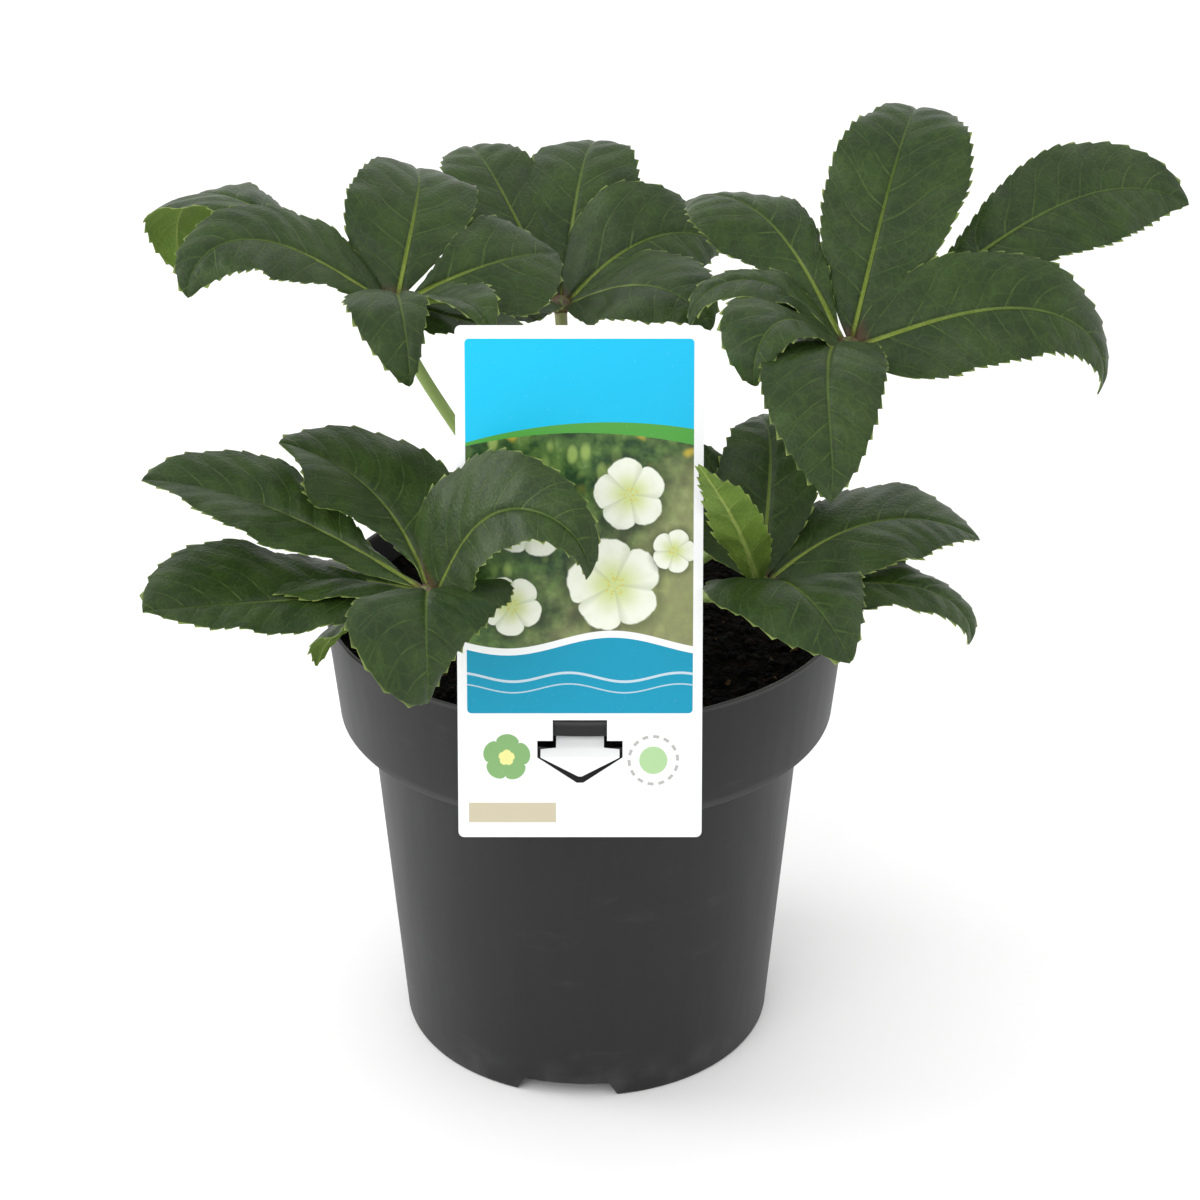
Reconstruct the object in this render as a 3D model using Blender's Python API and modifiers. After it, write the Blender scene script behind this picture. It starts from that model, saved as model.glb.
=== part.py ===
"""Hellebore in a plastic nursery pot, with a plain plant label clipped on the rim.

Five leaves stand on stalks in the soil, and each carries six or seven leaflets that
spread from its top like fingers. Lengths in the tables are millimetres and angles are
degrees. The origin lies on the ground, under the middle of the whole plant's outline.
"""

import math

import bmesh
import bpy
from mathutils import Matrix, Quaternion, Vector

MM = 0.001
GAP = 0.3                      # clearance between touching pieces
ROUND_GAP = 0.39               # the same between round faces, whose facets come closer
CUT_OVER = 2.0                 # how far a cutter passes the faces it cuts
HOLE_SIDES = 16
WELD = 0.02                    # points closer than this become one

# Where the pot's axis stands: the leaves reach further to +X than to -X
POT_X = -30.5
POT_Y = 6.5

# Pot
POT_HEIGHT = 183.0
RIM_RADIUS = 100.0
BASE_RADIUS = 73.0
COLLAR_HEIGHT = 45.0
COLLAR_FOOT_RADIUS = 95.5
BODY_TOP_RADIUS = 84.0
WALL = 1.6
FLOOR_LIFT = 7.0               # underside of the floor above the ground
FOOT_WIDTH = 3.0
RIM_BEAD = 1.2
POT_SIDES = 60
NOTCH_WIDTH_BELOW = 42.0
NOTCH_WIDTH_ABOVE = 33.0
NOTCH_HEIGHT = 6.5
NOTCH_REACH = 12.0             # how far a notch's cutter reaches in and out of the foot
NOTCH_ANGLES = (-96.0, 24.0, 144.0)
DRAIN_RADIUS = 5.0
DRAIN_CIRCLE = 52.0
DRAIN_COUNT = 6
LABEL_SLOT = (170.5, 176.8)    # the slot in the collar, from its lower to its upper edge
LABEL_SLOT_WIDTH = 32.0
LABEL_SLOT_DEPTH = 12.0

# Soil
SOIL_TOP = 169.0
SOIL_FLOOR = FLOOR_LIFT + WALL + GAP
PLUG_RADIUS = 60.0
PLUG_RISE = 3.0
PLUG_SLOPE = 3.0               # width of the slope round the raised middle
SOIL_DOME = 1.5
SOIL_DOME_RADIUS = 80.0

# Label: one flat sheet that leans back, with a tongue that hooks behind the rim
LABEL_WIDTH = 86.5
LABEL_ABOVE = 151.0
LABEL_BELOW = 31.0
LABEL_THICKNESS = 0.6
LABEL_LEAN = 17.5
LABEL_X = -1.7
LABEL_Y = -103.7
LABEL_ORIGIN_BELOW_RIM = 10.0
LABEL_CORNER = 2.0
TONGUE_NECK = 17.0             # widths of the arrow-shaped tongue, and heights on the sheet
TONGUE_HEAD = 28.0
TONGUE_ROOT = 11.6
TONGUE_SHOULDER = 2.9
TONGUE_CHEEK = -2.1
TONGUE_TIP = -8.9
TONGUE_CUT = 1.2               # width of the cut round the tongue
TONGUE_OVERLAP = 1.0           # how far the tongue runs up into the sheet
TONGUE_OVER_RIM = (0.6, 1.2)   # behind and above the rim where the tongue passes it
TONGUE_BEND = 1.5              # where it turns down, below the rim
TONGUE_OUT = (1.4, 1.8)        # how far out of the collar the neck ends and the head starts
TONGUE_DIP = (0.5, 0.8)        # how far below the middle of the slot they lie
TONGUE_POINT = 1.0

# Leaflets
BLADE_THICKNESS = 0.8
STATIONS = 14                  # steps along a leaflet
HALF_STEPS = 1                 # steps from the midrib to one edge
MARGIN_DROP = 10.0             # how far each half bends down again towards its edge
TIP_SHAPE = 0.85
TOOTH_DEPTH = 0.05
STEM_HALF_WIDTH = 1.2
TIP_HALF_WIDTH = 0.4
MIDRIB_STEPS = 60
HUB_RADIUS = 5.0
HUB_FLATNESS = 0.7
LEAFLET_START = 2.5

# Stalks
STALK_RADIUS = 2.5
STALK_DEPTH = 16.0
STALK_STRAIGHT = 3.0           # the upright part above the soil
STALK_POINTS = 14


class Leaf:
    """One leaf: where its leaflets meet, where its stalk leaves the soil, and how it bows.

    hub, crown and the two bows are (x, y, z) from the pot's axis at ground level. The
    first bow pulls the lower stalk outwards and the second one the upper stalk.
    """

    def __init__(self, name, hub, crown, low_bow, high_bow, leaflets):
        self.name = name
        self.hub = Vector(hub)
        self.crown = Vector(crown)
        self.low_bow = Vector(low_bow)
        self.high_bow = Vector(high_bow)
        self.leaflets = leaflets


class Leaflet:
    """One leaflet, by how its midrib runs and how its blade lies about the midrib.

    heading and pitch are (at the base, at the tip): the compass angle from +X towards +Y
    and the angle above level. late is how long the midrib keeps its first direction.
    roll turns the blade about the midrib, and a positive one lowers its right half.
    fold lifts both halves. belly is where along the leaflet each half is widest, and
    sides scales the left and right halves.
    """

    def __init__(self, length, heading, pitch, late, half_width,
                 roll=(0, 0), fold=8, belly=(0.5, 0.5), sides=(1.0, 1.0)):
        self.length = length
        self.heading = heading
        self.pitch = pitch
        self.late = late
        self.half_width = half_width
        self.roll = roll
        self.fold = fold
        self.belly = belly
        self.sides = sides


LEAVES = [
    Leaf("left_high", (-70, 5, 300), (-12, 0, 0), (-20, 0, 222), (-72, 4, 275), [
        Leaflet(137, (150, 114), (27, -145), 3.3, 22, roll=(8, 0), belly=(0.66, 0.72),
                sides=(0.85, 0.95)),
        Leaflet(93, (-174, -109), (37, -85), 3.0, 22, roll=(-25, -14), fold=10,
                belly=(0.59, 0.44), sides=(0.91, 1.0)),
        Leaflet(97, (75, 111), (49, -44), 1.5, 26, roll=(5, 19), fold=10,
                belly=(0.4, 0.53), sides=(1.0, 0.86)),
        Leaflet(68, (16, 46), (24, -18), 1.4, 25, roll=(43, 23), fold=6,
                belly=(0.68, 0.6), sides=(0.94, 1.0)),
        Leaflet(62, (-50, -58), (22, -43), 3.5, 14, fold=25),
        Leaflet(80, (-84, -73), (34, -112), 2.3, 18, roll=(-4, -1), fold=11,
                belly=(0.42, 0.53), sides=(0.57, 1.1)),
        Leaflet(58, (-31, -20), (0, -16), 2.0, 15, fold=10),
    ]),
    Leaf("back", (-10, 62, 277), (-2, 12, 0), (-3, 20, 215), (-8, 52, 240), [
        Leaflet(109, (120, 90), (37, -57), 3.5, 24, roll=(1, -7), fold=6,
                belly=(0.47, 0.49), sides=(0.9, 0.87)),
        Leaflet(102, (81, 77), (42, -44), 3.0, 25, roll=(2, -3), fold=4,
                belly=(0.58, 0.54), sides=(1.0, 0.93)),
        Leaflet(76, (16, 26), (47, -48), 1.7, 30, roll=(21, 40), belly=(0.46, 0.45)),
        Leaflet(78, (-35, -50), (32, -45), 2.0, 24, roll=(25, 10)),
        Leaflet(60, (-125, -118), (30, -19), 1.3, 17),
        Leaflet(95, (52, 54), (10, -40), 2.7, 22),
    ]),
    Leaf("right_high", (95, -22, 294), (12, 4, 0), (30, 0, 192), (102, -16, 228), [
        Leaflet(95, (126, 154), (45, -35), 2.5, 22, roll=(-34, 8), fold=0,
                belly=(0.7, 0.67), sides=(1.1, 0.88)),
        Leaflet(125, (69, 82), (48, -53), 3.9, 26, roll=(3, 5), fold=12,
                belly=(0.5, 0.53), sides=(0.9, 1.1)),
        Leaflet(158, (36, -4), (21, -33), 4.1, 26, roll=(29, 37),
                belly=(0.74, 0.71), sides=(0.92, 0.85)),
        Leaflet(115, (0, 15), (21, -111), 2.6, 25, roll=(48, 37), fold=6,
                belly=(0.39, 0.33), sides=(0.98, 0.88)),
        Leaflet(108, (-106, -71), (30, -106), 1.8, 23, roll=(-4, 8), fold=10,
                belly=(0.51, 0.54), sides=(0.88, 1.0)),
        Leaflet(79, (-130, -105), (37, -131), 3.3, 19, roll=(-28, 2),
                belly=(0.35, 0.53), sides=(0.87, 1.12)),
        Leaflet(76, (-171, -160), (51, -90), 2.4, 13, roll=(-14, -2), fold=10,
                belly=(0.61, 0.35)),
    ]),
    Leaf("left_low", (-54, -84, 226), (-10, -12, 0), (-14, -20, 205), (-50, -72, 205), [
        Leaflet(113, (150, 190), (19, 7), 2.0, 27, roll=(-12, 1), fold=18,
                belly=(0.62, 0.72), sides=(0.94, 1.0)),
        Leaflet(101, (168, 209), (-9, 9), 1.0, 27, roll=(-16, -6), fold=14,
                belly=(0.52, 0.7), sides=(0.75, 1.33)),
        Leaflet(87, (112, 197), (28, 20), 1.9, 28, roll=(0, -2), fold=14,
                belly=(0.72, 0.57), sides=(0.98, 1.15)),
        Leaflet(104, (-45, -12), (62, -107), 2.6, 25, roll=(76, 29), fold=15,
                belly=(0.25, 0.25), sides=(1.1, 0.84)),
        Leaflet(89, (-89, -84), (34, -107), 2.4, 27, roll=(21, -40), fold=4,
                belly=(0.24, 0.72), sides=(1.08, 1.0)),
        Leaflet(75, (141, 147), (-30, -75), 3.0, 16),
        Leaflet(84, (156, 168), (2, -12), 1.0, 17),
    ]),
    Leaf("right_low", (63, -62, 218), (8, -12, 0), (12, -16, 205), (55, -55, 200), [
        Leaflet(76, (-108, -142), (61, 54), 1.0, 10, roll=(20, 25), fold=18),
        Leaflet(90, (81, 115), (47, -48), 2.7, 19, roll=(0, -10), fold=6,
                belly=(0.41, 0.51), sides=(1.08, 1.0)),
        Leaflet(88, (30, -9), (30, -32), 1.5, 28, roll=(10, 1), belly=(0.6, 0.5)),
        Leaflet(86, (-7, -35), (6, -107), 4.3, 18, roll=(6, -3), belly=(0.44, 0.47)),
        Leaflet(75, (-77, -41), (38, -66), 1.7, 28, roll=(-10, 10), fold=10,
                belly=(0.44, 0.45), sides=(0.9, 1.1)),
        Leaflet(61, (101, 129), (26, 44), 1.0, 19),
    ]),
]


# Scene, collections, materials and small helpers

def clear_scene():
    for obj in list(bpy.data.objects):
        bpy.data.objects.remove(obj, do_unlink=True)


def new_collection(name):
    collection = bpy.data.collections.new(name)
    bpy.context.scene.collection.children.link(collection)
    return collection


def new_material(name, color, roughness):
    material = bpy.data.materials.new(name)
    material.use_nodes = True
    shader = material.node_tree.nodes["Principled BSDF"]
    shader.inputs["Base Color"].default_value = (*color, 1.0)
    shader.inputs["Roughness"].default_value = roughness
    shader.inputs["Metallic"].default_value = 0.0
    return material


def new_object(name, data, collection, material=None):
    """An object in the pot's own coordinates, moved to where the pot stands."""
    obj = bpy.data.objects.new(name, data)
    obj.location = (POT_X * MM, POT_Y * MM, 0.0)
    collection.objects.link(obj)
    if material:
        data.materials.append(material)
    return obj


def mesh_from(bm, name):
    bmesh.ops.recalc_face_normals(bm, faces=bm.faces)
    mesh = bpy.data.meshes.new(name)
    bm.to_mesh(mesh)
    bm.free()
    return mesh


def helper(name, mesh, collection):
    """A shape that only cuts or joins another one."""
    obj = new_object(name, mesh, collection)
    obj.hide_render = True
    obj.display_type = "WIRE"
    return obj


def combine(target, other, operation):
    modifier = target.modifiers.new(other.name, "BOOLEAN")
    modifier.operation = operation
    modifier.object = other
    modifier.solver = "EXACT"


def turned(name, profile, collection, material):
    """A solid turned from (radius, height) points that start and end on the axis."""
    bm = bmesh.new()
    points = [bm.verts.new((r * MM, 0.0, z * MM)) for r, z in profile]
    for here, there in zip(points, points[1:]):
        bm.edges.new((here, there))
    mesh = bpy.data.meshes.new(name)
    bm.to_mesh(mesh)
    bm.free()
    obj = new_object(name, mesh, collection, material)
    screw = obj.modifiers.new("turn", "SCREW")
    screw.axis = "Z"
    screw.angle = 2.0 * math.pi
    screw.steps = POT_SIDES
    screw.render_steps = POT_SIDES
    screw.use_merge_vertices = True
    screw.merge_threshold = WELD * MM
    screw.use_smooth_shade = False
    return obj


def upright_cylinder(name, radius, low, high, x, y, collection):
    bm = bmesh.new()
    place = Matrix.Translation((x * MM, y * MM, (low + high) / 2 * MM))
    bmesh.ops.create_cone(bm, cap_ends=True, segments=HOLE_SIDES, radius1=radius * MM,
                          radius2=radius * MM, depth=(high - low) * MM, matrix=place)
    return helper(name, mesh_from(bm, name), collection)


# Pot

def pot_profile():
    """From the middle of the floor up the inside, over the rim and down the outside."""
    step = POT_HEIGHT - COLLAR_HEIGHT
    floor_top = FLOOR_LIFT + WALL
    inner_foot = BASE_RADIUS - FOOT_WIDTH
    floor_radius = outer_radius(floor_top) - WALL
    return [
        (0.0, floor_top),
        (floor_radius, floor_top),
        (BODY_TOP_RADIUS - WALL, step + WALL),
        (COLLAR_FOOT_RADIUS - WALL, step + WALL),
        (RIM_RADIUS - WALL, POT_HEIGHT - RIM_BEAD / 2),
        (RIM_RADIUS - WALL + RIM_BEAD / 3, POT_HEIGHT),
        (RIM_RADIUS - RIM_BEAD / 3, POT_HEIGHT),
        (RIM_RADIUS, POT_HEIGHT - RIM_BEAD / 2),
        (COLLAR_FOOT_RADIUS, step),
        (BODY_TOP_RADIUS, step),
        (BASE_RADIUS, 0.0),
        (inner_foot, 0.0),
        (inner_foot, FLOOR_LIFT),
        (0.0, FLOOR_LIFT),
    ]


def outer_radius(height):
    """The body's outer radius below the collar, or the collar's above its step."""
    step = POT_HEIGHT - COLLAR_HEIGHT
    if height < step:
        return BASE_RADIUS + (BODY_TOP_RADIUS - BASE_RADIUS) * height / step
    share = (height - step) / COLLAR_HEIGHT
    return COLLAR_FOOT_RADIUS + (RIM_RADIUS - COLLAR_FOOT_RADIUS) * share


def notch_cutter(angle, collection):
    """A wedge with sloping sides that opens the foot ring at one place."""
    bm = bmesh.new()
    bmesh.ops.create_cube(bm, size=1.0)
    for vert in bm.verts:
        width = NOTCH_WIDTH_ABOVE if vert.co.z > 0 else NOTCH_WIDTH_BELOW
        radius = BASE_RADIUS + math.copysign(NOTCH_REACH, vert.co.x)
        height = NOTCH_HEIGHT if vert.co.z > 0 else -CUT_OVER
        vert.co = Vector((radius, math.copysign(width / 2, vert.co.y), height)) * MM
    bmesh.ops.rotate(bm, verts=bm.verts, matrix=Matrix.Rotation(math.radians(angle), 3, "Z"))
    return helper(f"notch {angle:.0f}", mesh_from(bm, "notch"), collection)


def slot_cutter(collection):
    """The slot in the collar that the label's tongue comes out through."""
    bm = bmesh.new()
    low, high = LABEL_SLOT
    size = (LABEL_SLOT_WIDTH * MM, LABEL_SLOT_DEPTH * MM, (high - low) * MM)
    middle = Vector((LABEL_X, -RIM_RADIUS, (low + high) / 2)) * MM
    bmesh.ops.create_cube(bm, size=1.0, matrix=Matrix.Translation(middle))
    bmesh.ops.scale(bm, verts=bm.verts, vec=size, space=Matrix.Translation(-middle))
    return helper("label slot", mesh_from(bm, "label slot"), collection)


def make_pot(parts, cutters, material):
    pot = turned("pot", pot_profile(), parts, material)
    for angle in NOTCH_ANGLES:
        combine(pot, notch_cutter(angle, cutters), "DIFFERENCE")
    for index in range(DRAIN_COUNT):
        angle = 2.0 * math.pi * (index + 0.5) / DRAIN_COUNT
        x = DRAIN_CIRCLE * math.cos(angle)
        y = DRAIN_CIRCLE * math.sin(angle)
        drain = upright_cylinder(f"drain {index}", DRAIN_RADIUS, FLOOR_LIFT - CUT_OVER,
                                 FLOOR_LIFT + WALL + CUT_OVER, x, y, cutters)
        combine(pot, drain, "DIFFERENCE")
    combine(pot, slot_cutter(cutters), "DIFFERENCE")


# Soil

def soil_profile():
    step = POT_HEIGHT - COLLAR_HEIGHT
    inset = WALL + ROUND_GAP
    return [
        (0.0, SOIL_TOP + PLUG_RISE),
        (PLUG_RADIUS - PLUG_SLOPE, SOIL_TOP + PLUG_RISE),
        (PLUG_RADIUS, SOIL_TOP + SOIL_DOME),
        (SOIL_DOME_RADIUS, SOIL_TOP),
        (outer_radius(SOIL_TOP) - inset, SOIL_TOP),
        (outer_radius(step) - inset, step + WALL + GAP),
        (BODY_TOP_RADIUS - inset, step + WALL + GAP),
        (outer_radius(SOIL_FLOOR) - inset, SOIL_FLOOR),
        (0.0, SOIL_FLOOR),
    ]


def make_soil(parts, cutters, material):
    soil = turned("soil", soil_profile(), parts, material)
    for leaf in LEAVES:
        x, y, _ = leaf.crown
        hole = upright_cylinder(f"hole {leaf.name}", STALK_RADIUS + ROUND_GAP,
                                SOIL_TOP - STALK_DEPTH - GAP,
                                SOIL_TOP + PLUG_RISE + CUT_OVER, x, y, cutters)
        combine(soil, hole, "DIFFERENCE")


# Label

def on_label(across, up, out=0.0):
    """A point on the label's leaning plane, in the pot's coordinates."""
    lean = math.radians(LABEL_LEAN)
    x = LABEL_X + across
    y = LABEL_Y + up * math.sin(lean) - out * math.cos(lean)
    z = POT_HEIGHT - LABEL_ORIGIN_BELOW_RIM + up * math.cos(lean) + out * math.sin(lean)
    return Vector((x, y, z))


def arrow_hole():
    """The opening that is left in the sheet round the tongue."""
    neck = TONGUE_NECK / 2 + TONGUE_CUT
    head = TONGUE_HEAD / 2 + TONGUE_CUT
    right = [(neck, TONGUE_ROOT), (neck, TONGUE_SHOULDER + TONGUE_CUT),
             (head, TONGUE_SHOULDER + TONGUE_CUT), (head, TONGUE_CHEEK),
             (TONGUE_CUT, TONGUE_TIP - 2.0 * TONGUE_CUT)]
    return right + [(-x, y) for x, y in reversed(right)]


def tongue_path():
    """(depth y, height z, half width) down the tongue: behind the rim, then out in front."""
    neck = TONGUE_NECK / 2
    head = TONGUE_HEAD / 2
    clear = 2.0 * GAP + LABEL_THICKNESS / 2
    inner_wall = outer_radius(LABEL_SLOT[1]) - WALL
    behind_rim = clear - math.sqrt(inner_wall ** 2 - (neck + abs(LABEL_X)) ** 2)
    slot_middle = sum(LABEL_SLOT) / 2
    root = on_label(0.0, TONGUE_ROOT + TONGUE_OVERLAP)
    cheek = on_label(0.0, TONGUE_CHEEK)
    tip = on_label(0.0, TONGUE_TIP)
    return [
        (root.y, root.z, neck),
        (behind_rim - TONGUE_OVER_RIM[0], POT_HEIGHT + TONGUE_OVER_RIM[1], neck),
        (behind_rim, POT_HEIGHT - TONGUE_BEND, neck),
        (behind_rim, LABEL_SLOT[1] - TONGUE_DIP[1], neck),
        (-RIM_RADIUS, slot_middle, neck),
        (-RIM_RADIUS - TONGUE_OUT[0], slot_middle - TONGUE_DIP[0], neck),
        (-RIM_RADIUS - TONGUE_OUT[1], slot_middle - TONGUE_DIP[1], head),
        (cheek.y, cheek.z, head),
        (tip.y, tip.z, TONGUE_POINT),
    ]


def make_tongue(collection):
    path = tongue_path()
    bm = bmesh.new()
    bmesh.ops.create_grid(bm, x_segments=2, y_segments=len(path) - 1, size=0.5)
    for vert in bm.verts:
        station = round((vert.co.y + 0.5) * (len(path) - 1))
        y, z, half = path[station]
        vert.co = Vector((LABEL_X + 2.0 * vert.co.x * half, y, z)) * MM
    bmesh.ops.triangulate(bm, faces=bm.faces)
    tongue = helper("tongue", mesh_from(bm, "tongue"), collection)
    thicken(tongue, LABEL_THICKNESS)
    return tongue


def thicken(obj, thickness):
    solid = obj.modifiers.new("thickness", "SOLIDIFY")
    solid.thickness = thickness * MM
    solid.offset = 0.0


def make_label(parts, cutters, material):
    outer = rounded_rectangle(LABEL_WIDTH / 2, -LABEL_BELOW, LABEL_ABOVE, LABEL_CORNER)
    mesh = sheet_solid("label", [outer, arrow_hole()], LABEL_THICKNESS, cutters)
    turn = Matrix.Rotation(math.radians(90.0 - LABEL_LEAN), 4, "X")
    mesh.transform(Matrix.Translation(on_label(0.0, 0.0) * MM) @ turn)
    label = new_object("label", mesh, parts, material)
    combine(label, make_tongue(cutters), "UNION")


def sheet_solid(name, outlines, thickness, collection):
    """Flat outlines, the first around the others, as one sheet on the label's plane."""
    curve = bpy.data.curves.new(name, "CURVE")
    curve.dimensions = "2D"
    curve.fill_mode = "BOTH"
    curve.extrude = thickness / 2 * MM
    for outline in outlines:
        spline = curve.splines.new("POLY")
        spline.points.add(len(outline) - 1)
        for point, (x, y) in zip(spline.points, outline):
            point.co = (x * MM, y * MM, 0.0, 1.0)
        spline.use_cyclic_u = True
    return solid_from_curve(name, curve, collection)


def solid_from_curve(name, curve, collection):
    temporary = bpy.data.objects.new(name + " outline", curve)
    collection.objects.link(temporary)
    bpy.context.view_layer.update()
    graph = bpy.context.evaluated_depsgraph_get()
    mesh = bpy.data.meshes.new_from_object(temporary.evaluated_get(graph))
    bpy.data.objects.remove(temporary, do_unlink=True)
    bm = bmesh.new()
    bm.from_mesh(mesh)
    bmesh.ops.remove_doubles(bm, verts=bm.verts, dist=WELD * MM)
    return mesh_from(bm, name)


def rounded_rectangle(half_width, low, high, corner, steps=5):
    points = []
    for cx, cy, start in ((half_width - corner, low + corner, -90.0),
                          (half_width - corner, high - corner, 0.0),
                          (corner - half_width, high - corner, 90.0),
                          (corner - half_width, low + corner, 180.0)):
        for index in range(steps + 1):
            angle = math.radians(start + 90.0 * index / steps)
            points.append((cx + corner * math.cos(angle), cy + corner * math.sin(angle)))
    return points


# Leaflets

def midrib(leaflet, hub):
    """Points and directions down a midrib, in many short even steps."""
    step = leaflet.length / MIDRIB_STEPS

    def direction(share):
        turn = share ** leaflet.late
        heading = math.radians(leaflet.heading[0] + turn * (leaflet.heading[1] - leaflet.heading[0]))
        pitch = math.radians(leaflet.pitch[0] + turn * (leaflet.pitch[1] - leaflet.pitch[0]))
        right = Vector((math.sin(heading), -math.cos(heading), 0.0))
        along = Vector((math.cos(pitch) * math.cos(heading),
                        math.cos(pitch) * math.sin(heading), math.sin(pitch)))
        return along, right

    _, right = direction(0.0)
    place = hub + Vector((-right.y, right.x, 0.0)) * LEAFLET_START
    line = [(place, *direction(0.0))]
    for index in range(MIDRIB_STEPS):
        along, _ = direction((index + 0.5) / MIDRIB_STEPS)
        place = place + along * step
        line.append((place, *direction((index + 1) / MIDRIB_STEPS)))
    return line


def half_width_at(share, belly):
    """A half's width along a leaflet, as a share of its widest, which lies at belly."""
    skew = math.log(0.5) / math.log(belly)
    return math.sin(math.pi * min(1.0, max(0.0, share)) ** skew) ** TIP_SHAPE


def blade_point(leaflet, line, share, across, tooth=0.0):
    """A point of a blade: share runs from base to tip, across from -1 (left) to 1."""
    place, along, right = line[round(share * (len(line) - 1))]
    roll = math.radians(leaflet.roll[0] + share * (leaflet.roll[1] - leaflet.roll[0]))
    right = Quaternion(along, roll) @ right
    upper = right.cross(along)
    side = 0 if across < 0 else 1
    width = leaflet.half_width * half_width_at(share, leaflet.belly[side]) * leaflet.sides[side]
    width = max(width * (1.0 + tooth), STEM_HALF_WIDTH * (1.0 - share)
                + TIP_HALF_WIDTH * share)
    lift = math.radians(leaflet.fold - MARGIN_DROP * abs(across))
    return (place + right * (width * across * math.cos(lift))
            + upper * (width * abs(across) * math.sin(lift)))


def make_leaflet(name, leaflet, hub, collection):
    line = midrib(leaflet, hub)
    bm = bmesh.new()
    bmesh.ops.create_grid(bm, x_segments=2 * HALF_STEPS, y_segments=STATIONS, size=0.5)
    for vert in bm.verts:
        across = 2.0 * vert.co.x
        station = round((vert.co.y + 0.5) * STATIONS)
        share = station / STATIONS
        at_edge = abs(across) > 0.99 and 1 < station < STATIONS - 1
        tooth = (TOOTH_DEPTH if station % 2 else -TOOTH_DEPTH) if at_edge else 0.0
        vert.co = blade_point(leaflet, line, share, across, tooth) * MM
    bmesh.ops.triangulate(bm, faces=bm.faces)
    blade = helper(name, mesh_from(bm, name), collection)
    thicken(blade, BLADE_THICKNESS)
    return blade


def make_hub(name, hub, parts, material):
    """The small knuckle where a leaf's leaflets meet."""
    bm = bmesh.new()
    flat = Matrix.Diagonal((1.0, 1.0, HUB_FLATNESS, 1.0))
    bmesh.ops.create_icosphere(bm, subdivisions=2, radius=HUB_RADIUS * MM,
                               matrix=Matrix.Translation(hub * MM) @ flat)
    return new_object(name, mesh_from(bm, name), parts, material)


def make_blades(leaf, parts, material):
    """The hub with every leaflet joined to it in one union, as one solid."""
    leaflets = new_collection(f"{leaf.name} leaflets")
    for index, leaflet in enumerate(leaf.leaflets):
        make_leaflet(f"{leaf.name} leaflet {index}", leaflet, leaf.hub, leaflets)
    blades = make_hub(f"{leaf.name}_blades", leaf.hub, parts, material)
    union = blades.modifiers.new("leaflets", "BOOLEAN")
    union.operation = "UNION"
    union.operand_type = "COLLECTION"
    union.collection = leaflets
    union.solver = "EXACT"
    bpy.context.view_layer.update()
    graph = bpy.context.evaluated_depsgraph_get()
    joined = bpy.data.meshes.new_from_object(blades.evaluated_get(graph))
    blades.modifiers.clear()
    blades.data = joined
    for obj in list(leaflets.objects):
        bpy.data.objects.remove(obj, do_unlink=True)
    bpy.data.collections.remove(leaflets)


# Stalks

def stalk_points(leaf):
    """From the floor of the stalk's hole straight up, then in one bow to the hub."""
    floor = Vector((leaf.crown.x, leaf.crown.y, SOIL_TOP - STALK_DEPTH))
    start = Vector((leaf.crown.x, leaf.crown.y, SOIL_TOP + PLUG_RISE + STALK_STRAIGHT))
    arrival = (leaf.hub - leaf.high_bow).normalized()
    reach = math.hypot(HUB_RADIUS * math.hypot(arrival.x, arrival.y),
                       HUB_RADIUS * HUB_FLATNESS * arrival.z)
    end = leaf.hub - arrival * (reach + 2.0 * GAP)
    points = [floor]
    for index in range(STALK_POINTS):
        t = index / (STALK_POINTS - 1)
        points.append(start * (1 - t) ** 3 + leaf.low_bow * (3 * t * (1 - t) ** 2)
                      + leaf.high_bow * (3 * t * t * (1 - t)) + end * t ** 3)
    return points


def make_stalk(leaf, parts, material):
    curve = bpy.data.curves.new(f"{leaf.name}_stalk", "CURVE")
    curve.dimensions = "3D"
    curve.bevel_depth = STALK_RADIUS * MM
    curve.bevel_resolution = 2
    curve.use_fill_caps = True
    points = stalk_points(leaf)
    spline = curve.splines.new("POLY")
    spline.points.add(len(points) - 1)
    for point, place in zip(spline.points, points):
        point.co = (*(place * MM), 1.0)
    new_object(f"{leaf.name}_stalk", curve, parts, material)


def main():
    clear_scene()
    parts = new_collection("hellebore plant")
    cutters = new_collection("cutters")
    pot_plastic = new_material("pot plastic", (0.045, 0.045, 0.048), 0.55)
    compost = new_material("compost", (0.02, 0.015, 0.012), 0.95)
    card = new_material("label sheet", (0.85, 0.87, 0.88), 0.35)
    blade_green = new_material("leaf", (0.06, 0.09, 0.045), 0.5)
    stalk_green = new_material("stalk", (0.28, 0.36, 0.12), 0.45)
    make_pot(parts, cutters, pot_plastic)
    make_soil(parts, cutters, compost)
    make_label(parts, cutters, card)
    for leaf in LEAVES:
        make_stalk(leaf, parts, stalk_green)
        make_blades(leaf, parts, blade_green)


main()
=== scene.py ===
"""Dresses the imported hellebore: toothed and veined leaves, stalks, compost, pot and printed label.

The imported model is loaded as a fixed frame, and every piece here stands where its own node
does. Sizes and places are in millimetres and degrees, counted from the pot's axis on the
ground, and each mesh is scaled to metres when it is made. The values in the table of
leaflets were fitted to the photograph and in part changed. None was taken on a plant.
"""

import math
import random
from typing import NamedTuple

import bmesh
import bpy
import numpy as np
from bpy.props import FloatProperty, FloatVectorProperty, IntProperty, PointerProperty
from mathutils import Matrix, Vector, noise


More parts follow.
